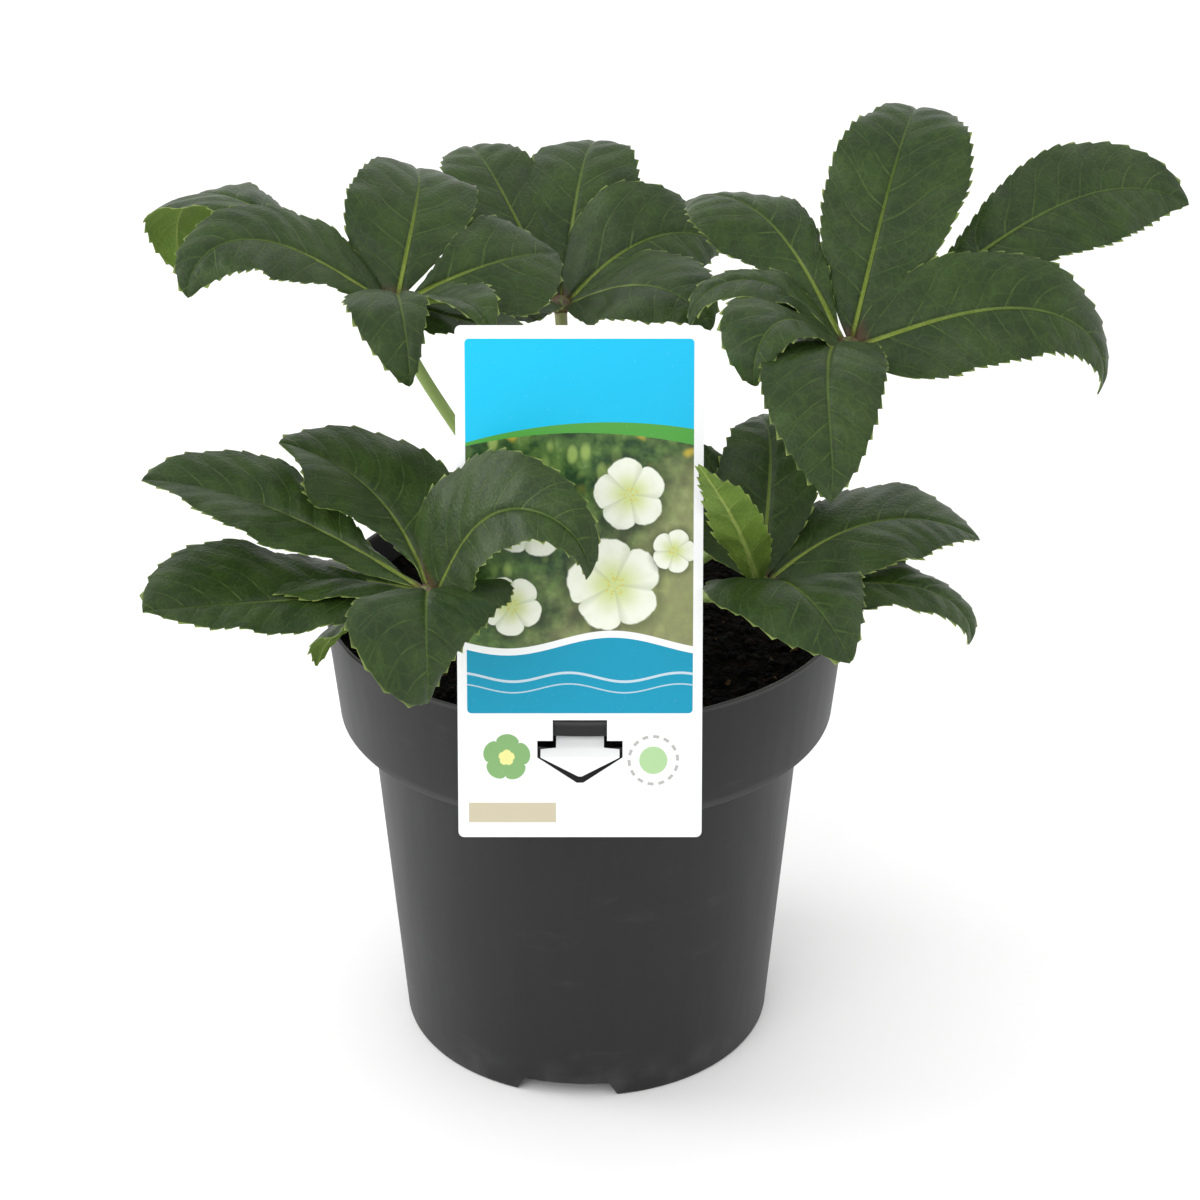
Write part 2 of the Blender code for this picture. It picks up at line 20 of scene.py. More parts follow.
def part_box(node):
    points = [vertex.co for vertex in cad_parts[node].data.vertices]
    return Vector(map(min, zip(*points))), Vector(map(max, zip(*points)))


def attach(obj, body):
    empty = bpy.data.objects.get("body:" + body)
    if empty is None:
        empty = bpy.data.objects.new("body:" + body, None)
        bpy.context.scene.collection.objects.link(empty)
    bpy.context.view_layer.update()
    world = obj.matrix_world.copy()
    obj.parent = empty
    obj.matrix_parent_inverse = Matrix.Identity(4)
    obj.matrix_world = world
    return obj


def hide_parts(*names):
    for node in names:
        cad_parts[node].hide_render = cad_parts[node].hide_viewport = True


bl_info = {
    "name": "Potted hellebore",
    "version": (1, 0, 0),
    "blender": (4, 5, 0),
    "location": "3D View > Sidebar > Hellebore",
    "description": "Builds the leaves, stalks, compost, pot and label of a potted hellebore",
    "category": "Object",
}

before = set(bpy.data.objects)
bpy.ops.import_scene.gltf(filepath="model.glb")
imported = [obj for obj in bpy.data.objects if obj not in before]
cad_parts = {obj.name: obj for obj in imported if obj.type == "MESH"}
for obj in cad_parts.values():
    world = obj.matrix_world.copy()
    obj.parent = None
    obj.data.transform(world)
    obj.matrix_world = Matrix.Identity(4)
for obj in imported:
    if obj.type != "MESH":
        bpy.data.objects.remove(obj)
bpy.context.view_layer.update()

MM = 0.001
POT_LOW, POT_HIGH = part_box("pot")
AXIS = Vector(((POT_LOW.x + POT_HIGH.x) / 2, (POT_LOW.y + POT_HIGH.y) / 2, 0.0))

# Pot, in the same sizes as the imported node
POT_HEIGHT = POT_HIGH.z / MM
RIM_RADIUS = (POT_HIGH.x - POT_LOW.x) / 2 / MM
BASE_RADIUS = 73.0
COLLAR_HEIGHT = 45.0
COLLAR_FOOT_RADIUS = 95.5
BODY_TOP_RADIUS = 84.0
WALL = 1.6
FLOOR_LIFT = 7.0
FOOT_WIDTH = 3.0
NOTCH_WIDTH_BELOW = 42.0
NOTCH_WIDTH_ABOVE = 33.0
NOTCH_HEIGHT = 6.5
NOTCH_REACH = 12.0             # how far a notch's cutter reaches in and out of the foot
NOTCH_BELOW = 2.0              # and how far below the ground
NOTCH_ANGLES = (-96.0, 24.0, 144.0)    # in degrees about the pot
DRAIN_RADIUS = 5.0
DRAIN_CIRCLE = 52.0
DRAIN_COUNT = 6
DRAIN_CUT = 8.0                # length of the cutter
LABEL_SLOT = (170.5, 176.8)    # its lower and its upper edge
LABEL_SLOT_WIDTH = 32.0
LABEL_SLOT_DEPTH = 12.0
COLLAR_STEP = POT_HEIGHT - COLLAR_HEIGHT
ROUNDING_LIMIT = 0.45          # the most of a side that a rounded corner may take up
POT_SHARP = math.radians(38.0)

# Compost
SOIL_TOP = 169.0
PLUG_RADIUS = 60.0
PLUG_RISE = 3.0
SOIL_GAP = 0.4
SOIL_LEVELS = [(0.0, PLUG_RISE), (PLUG_RADIUS - 4.0, PLUG_RISE), (PLUG_RADIUS + 1.0, 1.6),
               (80.0, 0.1), (92.0, 0.0), (96.6, -0.6)]    # radius, and height over SOIL_TOP
SOIL_SIDES = 240
SOIL_RINGS = 76
SOIL_RING_SPACING = 0.94       # under one, so that the rings lie closer towards the wall
SOIL_BOTTOM = FLOOR_LIFT + 2.0
SOIL_BOTTOM_RING = DRAIN_CIRCLE + 12.0
SOIL_EDGE_DEPTH = 4.0          # how far down its outer edge the side begins
SOIL_SHOULDER = (1.9, 2.2)     # how far over the collar's step it lies, inside and outside
COARSE_LUMPS = (9.0, 0.55)     # run of the lumps, and their share of the height
FINE_LUMPS = (2.6, 0.40)
CRUMB_CIRCLE = 93.0
CRUMB_SHAPE = Vector((1.7, 1.4, 1.1))    # half sizes of a large crumb and a large chip
CHIP_SHAPE = Vector((2.6, 1.1, 0.5))
CRUMB_ROUGHNESS = 0.28         # how far each corner may stray, as a share of its reach
CRUMB_TILT = 0.5               # in radians
CRUMB_SMALLEST = 0.45          # added to a random size from a quarter to one
CRUMB_LIFT = 0.15              # how much of its height the middle lies over the soil

# Label
LABEL_WIDTH = 86.5
LABEL_ABOVE = 151.0            # how far the sheet reaches above and below LABEL_Z, along itself
LABEL_BELOW = 31.0
LABEL_THICKNESS = 0.6
LABEL_LEAN = 17.5
LABEL_X = -1.7                 # the point from which everything on the sheet is measured
LABEL_Y = -103.7
LABEL_Z = POT_HEIGHT - 10.0
LABEL_CORNER = 2.0
LABEL_EDGE = 0.1               # the bevel round the sheet's edge
LABEL_SHARP = math.radians(30.0)
TONGUE_NECK = 17.0
TONGUE_HEAD = 28.0
TONGUE_ROOT = 11.6             # places of the tongue's parts, up the sheet
TONGUE_SHOULDER = 2.9
TONGUE_CHEEK = -2.1
TONGUE_TIP = -8.9
TONGUE_CUT = 1.2               # width of the cut round the tongue
TONGUE_OVER_RIM = (0.6, 1.2)   # behind and above the rim where the tongue passes it
TONGUE_BEND = 1.5              # where it turns down, below the rim
TONGUE_GAP = 0.9               # from the pot's inner wall to the middle of the tongue
TONGUE_ENTRY = 0.8             # where it turns into the slot, below the slot's top
TONGUE_OUT = (1.4, 1.8)        # how far out of the collar the neck ends and the head starts
TONGUE_DIP = (0.5, 0.8)        # how far below the middle of the slot they lie
TONGUE_POINT = 0.6
TONGUE_PRINT = -200.0          # where the tongue lies on the print: past all of it

# Print of the label, in millimetres across and up the sheet from the point that LABEL_X,
# LABEL_Y and LABEL_Z give
FLOWERS = [                    # centre across and up the label, radius, and turn
    ((-17.0, 84.0), 15.0, 0.4),
    ((17.5, 92.0), 13.0, 1.1),
    ((12.0, 60.0), 17.0, 0.1),
    ((-24.0, 52.5), 11.0, 0.8),
    ((33.0, 72.0), 8.0, 0.5),
]
HEADER_FOOT = 117.0
SWEEP_FOOT = 113.6
BAND_TOP = 38.0
BAND_BORDER = 2.5
RIPPLES = ((27.0, 0.45, 0.6), (23.0, 0.25, 0.5))    # height, half width and strength
PANEL_MIDDLE = 80.2
PANEL_HALF = (38.35, 64.7)     # half width and half height, inside the rounded corners
PANEL_CORNER = 1.5
BADGE = ((-26.0, -2.0), 8.5)   # centre and radius
BAR = ((-24.0, -22.0), (15.5, 3.6))    # centre and half size
RING = ((26.0, -3.0), 8.6)
RING_LINE = 0.55
RING_SPOT = 5.0
RING_DASHES = 14.0             # how many go round

# Leaflets and stalks
MIDRIB_STEPS = 60
MARGIN_DROP = 10.0             # how many degrees flatter the fold is at the edge
TIP_SHAPE = 0.85               # a lower power makes the ends blunter
STEM_HALF_WIDTH = 1.2
TIP_HALF_WIDTH = 0.05
HUB_RADIUS = 5.0
HUB_FLATNESS = 0.7
LEAFLET_START = 2.5            # how far from the middle of the hub a midrib begins
KNUCKLE_SHARE = 0.92           # how much of the hub's radius the knuckle has between leaflets
KNUCKLE_SWELL = 0.16
KNUCKLE_BULGE = 12             # a higher power makes the swellings narrower
KNUCKLE_RIPPLE = 0.05
KNUCKLE_RINGS = 14
KNUCKLE_SIDES = 28
STALK_RADIUS = 2.5
STALK_DEPTH = 16.0
STALK_STRAIGHT = 3.0           # the upright part above the soil
STALK_GROOVE_WIDTH = 0.5       # in radians about the stalk
STALK_RIDGES = 0.035
STALK_WAIST = 0.93             # the thinnest radius, as a share of STALK_RADIUS
STALK_FOOT_SWELL = (0.16, 0.09)     # how much it swells, and how quickly that fades
STALK_TOP_SWELL = (0.20, 0.03)

# Where the columns of a leaflet's mesh lie, from one edge over the midrib to the other
HALF_COLUMNS = (0.0, 0.03, 0.07, 0.13, 0.2, 0.3, 0.4, 0.5, 0.6, 0.7, 0.8, 0.88, 0.94, 1.0)
COLUMNS = np.array([-column for column in reversed(HALF_COLUMNS)] + list(HALF_COLUMNS[1:]))
ROWS_PER_TOOTH = 5
TIP_ROW = 4                    # the row of each tooth that holds its point

# Teeth and waves of a blade's edge
TOOTH_SIZES = (0.55, 1.25)     # the smallest and the largest, as shares of the tooth depth
TOOTH_CURVE = 1.15             # above one, the back of a tooth is hollow
TOOTH_SINK = 0.45              # how much of a tooth is cut into the blade
TOOTH_LEAN = 0.17              # how far its point leans forward, as a share of the spacing
TOOTH_ROOT = 0.18              # how much of it the next column follows
TEETH_BEGIN = (0.10, 0.24)     # where along a leaflet the teeth grow to full size
TEETH_END = (0.955, 1.0)       # and where they fade out
LONG_WAVE = 34.0               # lengths of the two waves of an edge
SHORT_WAVE = 17.0
SHORT_WAVE_SHARE = 0.5
WAVE_SHARE = 0.7
WAVE_HUG = 2.4                 # a higher power keeps the waves nearer to the edge
RIPPLE_HEIGHT = 0.55
RIPPLE_RUN = 7.5               # along the midrib, for one radian

# Side veins, and the relief about them and the midrib
VEIN_SLANT = 0.72              # how far a vein runs forward for each millimetre outwards
VEIN_CURVE = 0.011             # and how much more the farther out it is
VEIN_CLOSENESS = 0.72          # distance square to the veins, as a share of that along the midrib
VEIN_CROWDING = 0.25           # how much closer the veins lie at the tip
VEIN_STRAY = (0.20, 13.0)      # how far they stray from even spacing, and over what run
VEIN_WIGGLE = (0.06, 3.9, 11.0)    # its height, and its run outwards and along
GROOVE_WIDTH = 0.9
KEEL_WIDTH = 1.0
SHOULDER = (0.35, 2.4, 1.5)    # height, place and width of the rise beside the groove
RIB_HEIGHT = 0.22              # of the side veins under the blade
UNDER_SWELL = 0.7              # how much of the swelling shows from below
GROOVE_FADE = 0.75             # how much of each form is gone at the tip
SHOULDER_FADE = 0.6
KEEL_FADE = 0.85
EDGE_THINNING = 0.65           # how much of the thickness is gone at the edge
PATTERN_REACH = 900.0          # how far apart the leaflets may lie in the material's patterns
PATTERN_SKEW = 0.37
BLADE_SHARP = math.radians(65.0)

# Studio
FLOOR_REACH = 3000.0
COVE_START = 1400.0            # where the floor begins to curve up, behind the plant
COVE_RADIUS = 700.0
COVE_STEPS = 24
WALL_HEIGHT = 1800.0
LIGHTS = {                     # place and size of each soft light, in metres
    "key": ((-0.8, -1.4, 1.25), (1.2, 1.2)),
    "left": ((-1.6, 0.2, 0.8), (0.8, 1.4)),
    "right": ((1.6, 0.0, 0.8), (0.8, 1.4)),
}
LIT_PLACE = Vector((0.0, 0.0, 0.18))    # where the lights point, in metres
SENSOR_WIDTH = 36.0            # of the camera, in millimetres
CLIP = (0.05, 50.0)            # nearest and farthest that the camera sees, in metres


class Leaf(NamedTuple):
    """One leaf: where its leaflets meet, where its stalk leaves the soil, and how it bows."""

    name: str
    hub: tuple
    crown: tuple
    low_bow: tuple
    high_bow: tuple
    leaflets: list


class Leaflet(NamedTuple):
    """One leaflet, by how its midrib runs and how its blade lies about the midrib.

    heading and pitch are (at the base, at the tip). late is how long the midrib keeps its
    first direction. roll turns the blade about the midrib, fold lifts both halves, belly is
    where along the leaflet each half is widest, and sides scales the two halves.
    """

    length: float
    heading: tuple
    pitch: tuple
    late: float
    half_width: float
    roll: tuple = (0, 0)
    fold: float = 8
    belly: tuple = (0.5, 0.5)
    sides: tuple = (1.0, 1.0)


LEAVES = [
    Leaf("left_high", (-70, 5, 300), (-12, 0, 0), (-20, 0, 222), (-72, 4, 275), [
        Leaflet(137, (150, 114), (27, -145), 3.3, 22, roll=(8, 0), belly=(0.66, 0.72),
                sides=(0.85, 0.95)),
        Leaflet(93, (-174, -109), (37, -85), 3.0, 22, roll=(-25, -14), fold=10,
                belly=(0.59, 0.44), sides=(0.91, 1.0)),
        Leaflet(97, (75, 111), (49, -44), 1.5, 26, roll=(5, 19), fold=10,
                belly=(0.4, 0.53), sides=(1.0, 0.86)),
        Leaflet(68, (16, 46), (24, -18), 1.4, 25, roll=(43, 23), fold=6,
                belly=(0.68, 0.6), sides=(0.94, 1.0)),
        Leaflet(62, (-50, -58), (22, -43), 3.5, 14, fold=25),
        Leaflet(80, (-84, -73), (34, -112), 2.3, 18, roll=(-4, -1), fold=11,
                belly=(0.42, 0.53), sides=(0.57, 1.1)),
        Leaflet(58, (-31, -20), (0, -16), 2.0, 15, fold=10),
    ]),
    Leaf("back", (-10, 62, 277), (-2, 12, 0), (-3, 20, 215), (-8, 52, 240), [
        Leaflet(109, (120, 90), (37, -57), 3.5, 24, roll=(1, -7), fold=6,
                belly=(0.47, 0.49), sides=(0.9, 0.87)),
        Leaflet(102, (81, 77), (42, -44), 3.0, 25, roll=(2, -3), fold=4,
                belly=(0.58, 0.54), sides=(1.0, 0.93)),
        Leaflet(76, (16, 26), (47, -48), 1.7, 30, roll=(21, 40), belly=(0.46, 0.45)),
        Leaflet(78, (-35, -50), (32, -45), 2.0, 24, roll=(25, 10)),
        Leaflet(60, (-125, -118), (30, -19), 1.3, 17),
        Leaflet(95, (52, 54), (10, -40), 2.7, 22),
    ]),
    Leaf("right_high", (95, -22, 294), (12, 4, 0), (30, 0, 192), (102, -16, 228), [
        Leaflet(95, (126, 154), (45, -35), 2.5, 22, roll=(-34, 8), fold=0,
                belly=(0.7, 0.67), sides=(1.1, 0.88)),
        Leaflet(125, (69, 82), (48, -53), 3.9, 26, roll=(3, 5), fold=12,
                belly=(0.5, 0.53), sides=(0.9, 1.1)),
        Leaflet(158, (36, -4), (21, -33), 4.1, 26, roll=(29, 37),
                belly=(0.74, 0.71), sides=(0.92, 0.85)),
        Leaflet(115, (0, 15), (21, -111), 2.6, 25, roll=(48, 37), fold=6,
                belly=(0.39, 0.33), sides=(0.98, 0.88)),
        Leaflet(108, (-106, -71), (30, -106), 1.8, 23, roll=(-4, 8), fold=10,
                belly=(0.51, 0.54), sides=(0.88, 1.0)),
        Leaflet(79, (-130, -105), (37, -131), 3.3, 19, roll=(-28, 2),
                belly=(0.35, 0.53), sides=(0.87, 1.12)),
        Leaflet(76, (-171, -160), (51, -90), 2.4, 13, roll=(-14, -2), fold=10,
                belly=(0.61, 0.35)),
    ]),
    Leaf("left_low", (-54, -84, 226), (-10, -12, 0), (-14, -20, 205), (-50, -72, 205), [
        Leaflet(113, (150, 190), (19, 7), 2.0, 27, roll=(-12, 1), fold=18,
                belly=(0.62, 0.72), sides=(0.94, 1.0)),
        Leaflet(101, (168, 209), (-9, 9), 1.0, 27, roll=(-16, -6), fold=14,
                belly=(0.52, 0.7), sides=(0.75, 1.33)),
        Leaflet(87, (112, 197), (28, 20), 1.9, 28, roll=(0, -2), fold=14,
                belly=(0.72, 0.57), sides=(0.98, 1.15)),
        Leaflet(104, (-45, -12), (62, -107), 2.6, 25, roll=(76, 29), fold=15,
                belly=(0.25, 0.25), sides=(1.1, 0.84)),
        Leaflet(89, (-89, -84), (34, -107), 2.4, 27, roll=(21, -40), fold=4,
                belly=(0.24, 0.72), sides=(1.08, 1.0)),
        Leaflet(75, (141, 147), (-30, -75), 3.0, 16),
        Leaflet(84, (156, 168), (2, -12), 1.0, 17),
    ]),
    Leaf("right_low", (63, -62, 218), (8, -12, 0), (12, -16, 205), (55, -55, 200), [
        Leaflet(76, (-108, -142), (61, 54), 1.0, 10, roll=(20, 25), fold=18),
        Leaflet(90, (81, 115), (47, -48), 2.7, 19, roll=(0, -10), fold=6,
                belly=(0.41, 0.51), sides=(1.08, 1.0)),
        Leaflet(88, (30, -9), (30, -32), 1.5, 28, roll=(10, 1), belly=(0.6, 0.5)),
        Leaflet(86, (-7, -35), (6, -107), 4.3, 18, roll=(6, -3), belly=(0.44, 0.47)),
        Leaflet(75, (-77, -41), (38, -66), 1.7, 28, roll=(-10, 10), fold=10,
                belly=(0.44, 0.45), sides=(0.9, 1.1)),
        Leaflet(61, (101, 129), (26, 44), 1.0, 19),
    ]),
]


# Settings that a user would change

def length(name, description, default):
    return FloatProperty(name=name, description=description, default=default, min=0.0,
                         unit="LENGTH", precision=5)


def colour(name, description, default):
    return FloatVectorProperty(name=name, description=description, default=default, size=3,
                               subtype="COLOR", min=0.0, max=1.0)


class LeafSettings(bpy.types.PropertyGroup):
    tooth_spacing: length("Tooth spacing", "From one tooth of the margin to the next", 0.0053)
    tooth_depth: length("Tooth depth", "How far the teeth stand out", 0.0013)
    vein_spacing: length("Vein spacing", "Between side veins along the midrib", 0.0145)
    quilting: length("Quilting", "How far the blade swells between side veins", 0.0007)
    groove: length("Midrib groove", "How deep the midrib lies in the upper face", 0.0009)
    keel: length("Midrib keel", "How far the midrib stands out below", 0.0012)
    wave: length("Edge wave", "How far the edges rise and dip", 0.0015)
    thickness: length("Thickness", "Of the blade at its middle", 0.0006)
    green: colour("Green", "Upper face", (0.031, 0.063, 0.0105))
    # Shade colours random darker patches, and also the painted shade beside the side veins
    shade: colour("Shade", "Darker patches, and beside the veins", (0.016, 0.037, 0.0065))
    # Painted sheen: a greyish cast laid in random patches over the upper face
    painted_sheen: colour("Bloom", "Greyish cast on the upper face", (0.041, 0.064, 0.020))
    # Underside: a paler green, brightened further as painted light shining through the blade
    under: colour("Underside", "Lower face", (0.150, 0.245, 0.036))
    vein: colour("Veins", "Side veins and the outer midrib", (0.120, 0.200, 0.034))
    rib: colour("Midrib", "The midrib near the base", (0.310, 0.400, 0.072))
    margin: colour("Margin", "The thin edge and the points of its teeth", (0.290, 0.370, 0.090))
    knuckle: colour("Knuckle", "Where the leaflets meet", (0.085, 0.040, 0.024))


class StalkSettings(bpy.types.PropertyGroup):
    rings: IntProperty(name="Rings", description="Cross-sections along a stalk", default=72,
                       min=12)
    sides: IntProperty(name="Sides", description="Points round a stalk", default=24, min=8)
    groove: FloatProperty(name="Groove", description="Depth of the groove as a share of the radius",
                          default=0.24, min=0.0, max=0.6)
    green: colour("Green", "Most of the stalk", (0.250, 0.360, 0.090))
    foot: colour("Foot", "Near the soil", (0.200, 0.170, 0.080))
    flush: colour("Flush", "Reddish streaks near the leaflets", (0.170, 0.080, 0.045))


class SoilSettings(bpy.types.PropertyGroup):
    lumps: length("Lumps", "Height of the lumps in the surface", 0.0021)
    crumbs: IntProperty(name="Crumbs", description="Loose crumbs on the surface", default=1100,
                        min=0)
    chips: IntProperty(name="Bark chips", description="Loose chips on the surface", default=90,
                       min=0)
    dark: colour("Dark", "Most of the compost", (0.0012, 0.0010, 0.0009))
    brown: colour("Brown", "Lighter fibres", (0.0070, 0.0045, 0.0032))
    chip: colour("Chips", "Bark chips", (0.100, 0.056, 0.026))


class PotSettings(bpy.types.PropertyGroup):
    sides: IntProperty(name="Sides", description="Facets round the pot", default=180, min=24)
    plastic: colour("Plastic", "The pot", (0.0105, 0.0105, 0.0115))
    # This colour serves the real scuffs and dust, and the painted highlights along the rim and the
    # collar's step
    dust_and_highlight: colour("Dust", "Scuffs and dust on the plastic", (0.075, 0.074, 0.073))


class LabelSettings(bpy.types.PropertyGroup):
    sheet: colour("Sheet", "Border and back", (0.86, 0.87, 0.88))
    header: colour("Header", "Upper panel", (0.001, 0.500, 0.780))
    band: colour("Band", "Lower panel", (0.002, 0.285, 0.450))
    swoosh: colour("Swoosh", "Leaf green sweep", (0.075, 0.330, 0.050))
    petal: colour("Petals", "Printed flowers", (0.800, 0.830, 0.720))


class StageSettings(bpy.types.PropertyGroup):
    distance: length("Camera distance", "From the camera to its target", 1.152)
    elevation: FloatProperty(name="Camera elevation", description="Above the horizon",
                             default=math.radians(27.2), subtype="ANGLE")
    lens: FloatProperty(name="Lens", description="Focal length in millimetres", default=90.0)
    target: FloatVectorProperty(name="Camera target", description="The point the camera looks at",
                                default=(AXIS.x + 0.0054, AXIS.y, 0.1802), subtype="TRANSLATION")
    sky: FloatProperty(name="Sky", description="Strength of the even light", default=1.04)
    key: FloatProperty(name="Key light", description="Power of the main soft light",
                       default=9.5, unit="POWER")
    left: FloatProperty(name="Left light", description="Power of the light at the left",
                        default=12.0, unit="POWER")
    right: FloatProperty(name="Right light", description="Power of the light at the right",
                         default=2.0, unit="POWER")
    floor: colour("Floor", "The studio floor", (0.98, 0.98, 0.98))


# Materials

class Value:
    """A node's output. Arithmetic on it adds Math nodes to its own tree."""

    def __init__(self, paint, output):
        self.paint = paint
        self.output = output

    def __add__(self, other):
        return self.paint.math("ADD", self, other)

    def __sub__(self, other):
        return self.paint.math("SUBTRACT", self, other)

    def __rsub__(self, other):
        return self.paint.math("SUBTRACT", other, self)

    def __mul__(self, other):
        return self.paint.math("MULTIPLY", self, other)

    def __truediv__(self, other):
        return self.paint.math("DIVIDE", self, other)

    def __pow__(self, other):
        return self.paint.math("POWER", self, other)

    def __abs__(self):
        return self.paint.math("ABSOLUTE", self)

    def __lt__(self, other):
        return self.paint.math("LESS_THAN", self, other)

    def __gt__(self, other):
        return self.paint.math("GREATER_THAN", self, other)

    __radd__ = __add__
    __rmul__ = __mul__


class Paint:
    """A new material, and the ways that its nodes are added."""

    def __init__(self, name):
        self.material = bpy.data.materials.new(name)
        self.material.use_nodes = True
        self.nodes = self.material.node_tree.nodes
        self.links = self.material.node_tree.links
        self.shader = self.nodes["Principled BSDF"]

    def node(self, kind, settings, sockets, output=0):
        """Adds a node with its settings first, then its sockets' values or links."""
        made = self.nodes.new(kind)
        for name, setting in settings.items():
            if name == "stops":
                elements = made.color_ramp.elements
                while len(elements) < len(setting):
                    elements.new(1.0)
                for element, (place, shade) in zip(elements, setting):
                    element.position = place
                    element.color = (*shade, 1.0)
            else:
                setattr(made, name, setting)
        for name, value in sockets.items():
            self.feed(made.inputs[name], value)
        return Value(self, made.outputs[output])

    def feed(self, socket, value):
        if isinstance(value, Value):
            self.links.new(value.output, socket)
        elif isinstance(value, (int, float)):
            socket.default_value = value
        elif len(value) == len(socket.default_value):
            socket.default_value = value
        else:
            socket.default_value = (*value, 1.0)

    def math(self, operation, *values):
        return self.node("ShaderNodeMath", {"operation": operation}, dict(enumerate(values)))

    def fade(self, value, low, high):
        """0 up to low, 1 from high on, and a smooth rise between them."""
        return self.node("ShaderNodeMapRange", {"interpolation_type": "SMOOTHSTEP"},
                         {"Value": value, "From Min": low, "From Max": high})

    def mix(self, share, below, above, blend="MIX"):
        return self.node("ShaderNodeMix", {"data_type": "RGBA", "blend_type": blend},
                         {0: share, 6: below, 7: above}, output=2)

    def layers(self, tone, *layers):
        """Lays pairs of (share, colour) over a tone, one after another."""
        for share, shade in layers:
            tone = self.mix(share, tone, shade)
        return tone

    def attribute(self, name):
        return self.node("ShaderNodeAttribute", {"attribute_name": name}, {}, output="Vector")

    def object_place(self):
        return self.node("ShaderNodeTexCoord", {}, {}, output="Object")

    def split(self, vector):
        x = self.node("ShaderNodeSeparateXYZ", {}, {0: vector}, output=0)
        made = x.output.node
        return x, Value(self, made.outputs[1]), Value(self, made.outputs[2])

    def noise(self, vector, scale, detail=3.0, roughness=0.55):
        return self.node("ShaderNodeTexNoise", {},
                         {"Vector": vector, "Scale": scale, "Detail": detail,
                          "Roughness": roughness})

    def cells(self, vector, scale, feature="F1", output=0):
        return self.node("ShaderNodeTexVoronoi", {"feature": feature},
                         {"Vector": vector, "Scale": scale}, output=output)

    def scaled(self, vector, factors):
        return self.node("ShaderNodeVectorMath", {"operation": "MULTIPLY"},
                         {0: vector, 1: factors})

    def bump(self, height, distance, strength=1.0):
        return self.node("ShaderNodeBump", {},
                         {"Height": height, "Distance": distance, "Strength": strength},
                         output="Normal")

    def finish(self, sockets):
        for name, value in sockets.items():
            self.feed(self.shader.inputs[name], value)
        return self.material


def blade_material(settings):
    paint = Paint("hellebore_blade")
    side_vein, across, spread = paint.split(paint.attribute("vein"))
    edge, share, under = paint.split(paint.attribute("edge"))
    place = paint.attribute("place")
    spacing = settings.vein_spacing / MM * VEIN_CLOSENESS

    # Midrib, side veins, the branches that leave them halfway to the edge, and the fine net
    rib = 1.0 - paint.fade(abs(across) / (0.92 - share * 0.70), 0.55, 1.25)
    off_vein = abs(paint.math("FRACT", side_vein) - 0.5) * spacing
    vein = 1.0 - paint.fade(off_vein / (0.50 - spread * 0.28), 0.35, 1.3)
    # Painted shade: darker bands beside each side vein, where the blade dips between its swellings
    vein_shade = (1.0 - paint.fade(off_vein, 0.5, 3.4)) * (1.0 - spread * 0.6)
    branching = paint.fade(spread, 0.38, 1.0) * 0.44
    off_branch = abs(paint.math("FRACT", side_vein - branching) - 0.5) * spacing
    branch = (1.0 - paint.fade(off_branch, 0.08, 0.42)) * paint.fade(spread, 0.36, 0.5)
    faint = paint.noise(place, 0.16, 1.0)
    side_veins = paint.math("MAXIMUM", vein * (1.0 - spread * 0.45), branch * 0.42)
    side_veins = side_veins * (paint.fade(faint, 0.32, 0.66) * 0.75 + 0.25)
    net = 1.0 - paint.fade(paint.cells(place, 0.19, "DISTANCE_TO_EDGE"), 0.02, 0.085)
    lines = paint.math("MAXIMUM", side_veins, net * 0.20)

    # Upper face: mottled green with painted sheen as a greyish cast in patches, and painted shade
    # beside the veins
    mottle = paint.noise(place, 0.07, 3.0)
    # Painted sheen: where the greyish cast lies
    painted_sheen = paint.fade(paint.noise(place, 0.045, 2.0), 0.42, 0.72)
    ribbed = paint.mix(paint.fade(share, 0.05, 0.75), settings.rib, settings.vein)
    top = paint.layers(
        settings.shade,
        (paint.fade(mottle, 0.35, 0.68), settings.green),
        (painted_sheen * 0.35, settings.painted_sheen),
        (vein_shade * 0.5, settings.shade),
        (lines * 0.36, settings.vein),
        (rib * (0.85 - share * 0.68), ribbed))

    # Lower face: paler, with the veins standing out, and brightened as painted light shining through
    # the blade
    below = paint.layers(
        settings.under,
        (paint.fade(mottle, 0.3, 0.75), settings.vein),
        (lines * 0.45, settings.margin),
        (rib * 0.8, settings.margin))
    tone = paint.mix(paint.fade(under, 0.35, 0.65), top, below)
    grain = paint.noise(place, 1.4, 2.0, 0.65)
    tone = paint.mix(paint.fade(grain, 0.35, 0.75) * 0.35, tone, (0.35, 0.35, 0.35), "MULTIPLY")

    # Margin with the points of its teeth, and the flush at the base
    ragged = paint.fade(paint.noise(place, 0.13, 1.0), 0.35, 0.65)
    margin = (1.0 - paint.fade(edge, -0.1, 0.32)) * (0.15 + ragged * 0.45)
    points = 1.0 - paint.fade(edge, -0.75, -0.1)
    base = 1.0 - paint.fade(share, 0.015, 0.07)
    tone = paint.layers(
        tone,
        (paint.math("MAXIMUM", margin, points * 0.85), settings.margin),
        (base * 0.75, settings.knuckle))

    fine = paint.cells(place, 0.75)
    height = grain * 0.25 - fine * 0.45 - side_veins * 0.55 * (1.0 - under * 1.8)
    return paint.finish({
        "Base Color": tone,
        "Roughness": 0.36 + grain * 0.16 + under * 0.14,
        "Specular IOR Level": 0.25,
        "Normal": paint.bump(height, 0.00042, 0.8),
    })


def knuckle_material(settings):
    paint = Paint("leaf_knuckle")
    place = paint.object_place()
    streaks = paint.noise(paint.scaled(place, (1.0, 1.0, 0.4)), 700.0, 3.0)
    tone = paint.mix(paint.fade(streaks, 0.4, 0.75), settings.knuckle, settings.vein)
    return paint.finish({
        "Base Color": tone,
        "Roughness": 0.42 + streaks * 0.2,
        "Normal": paint.bump(streaks, 0.0005, 0.6),
    })


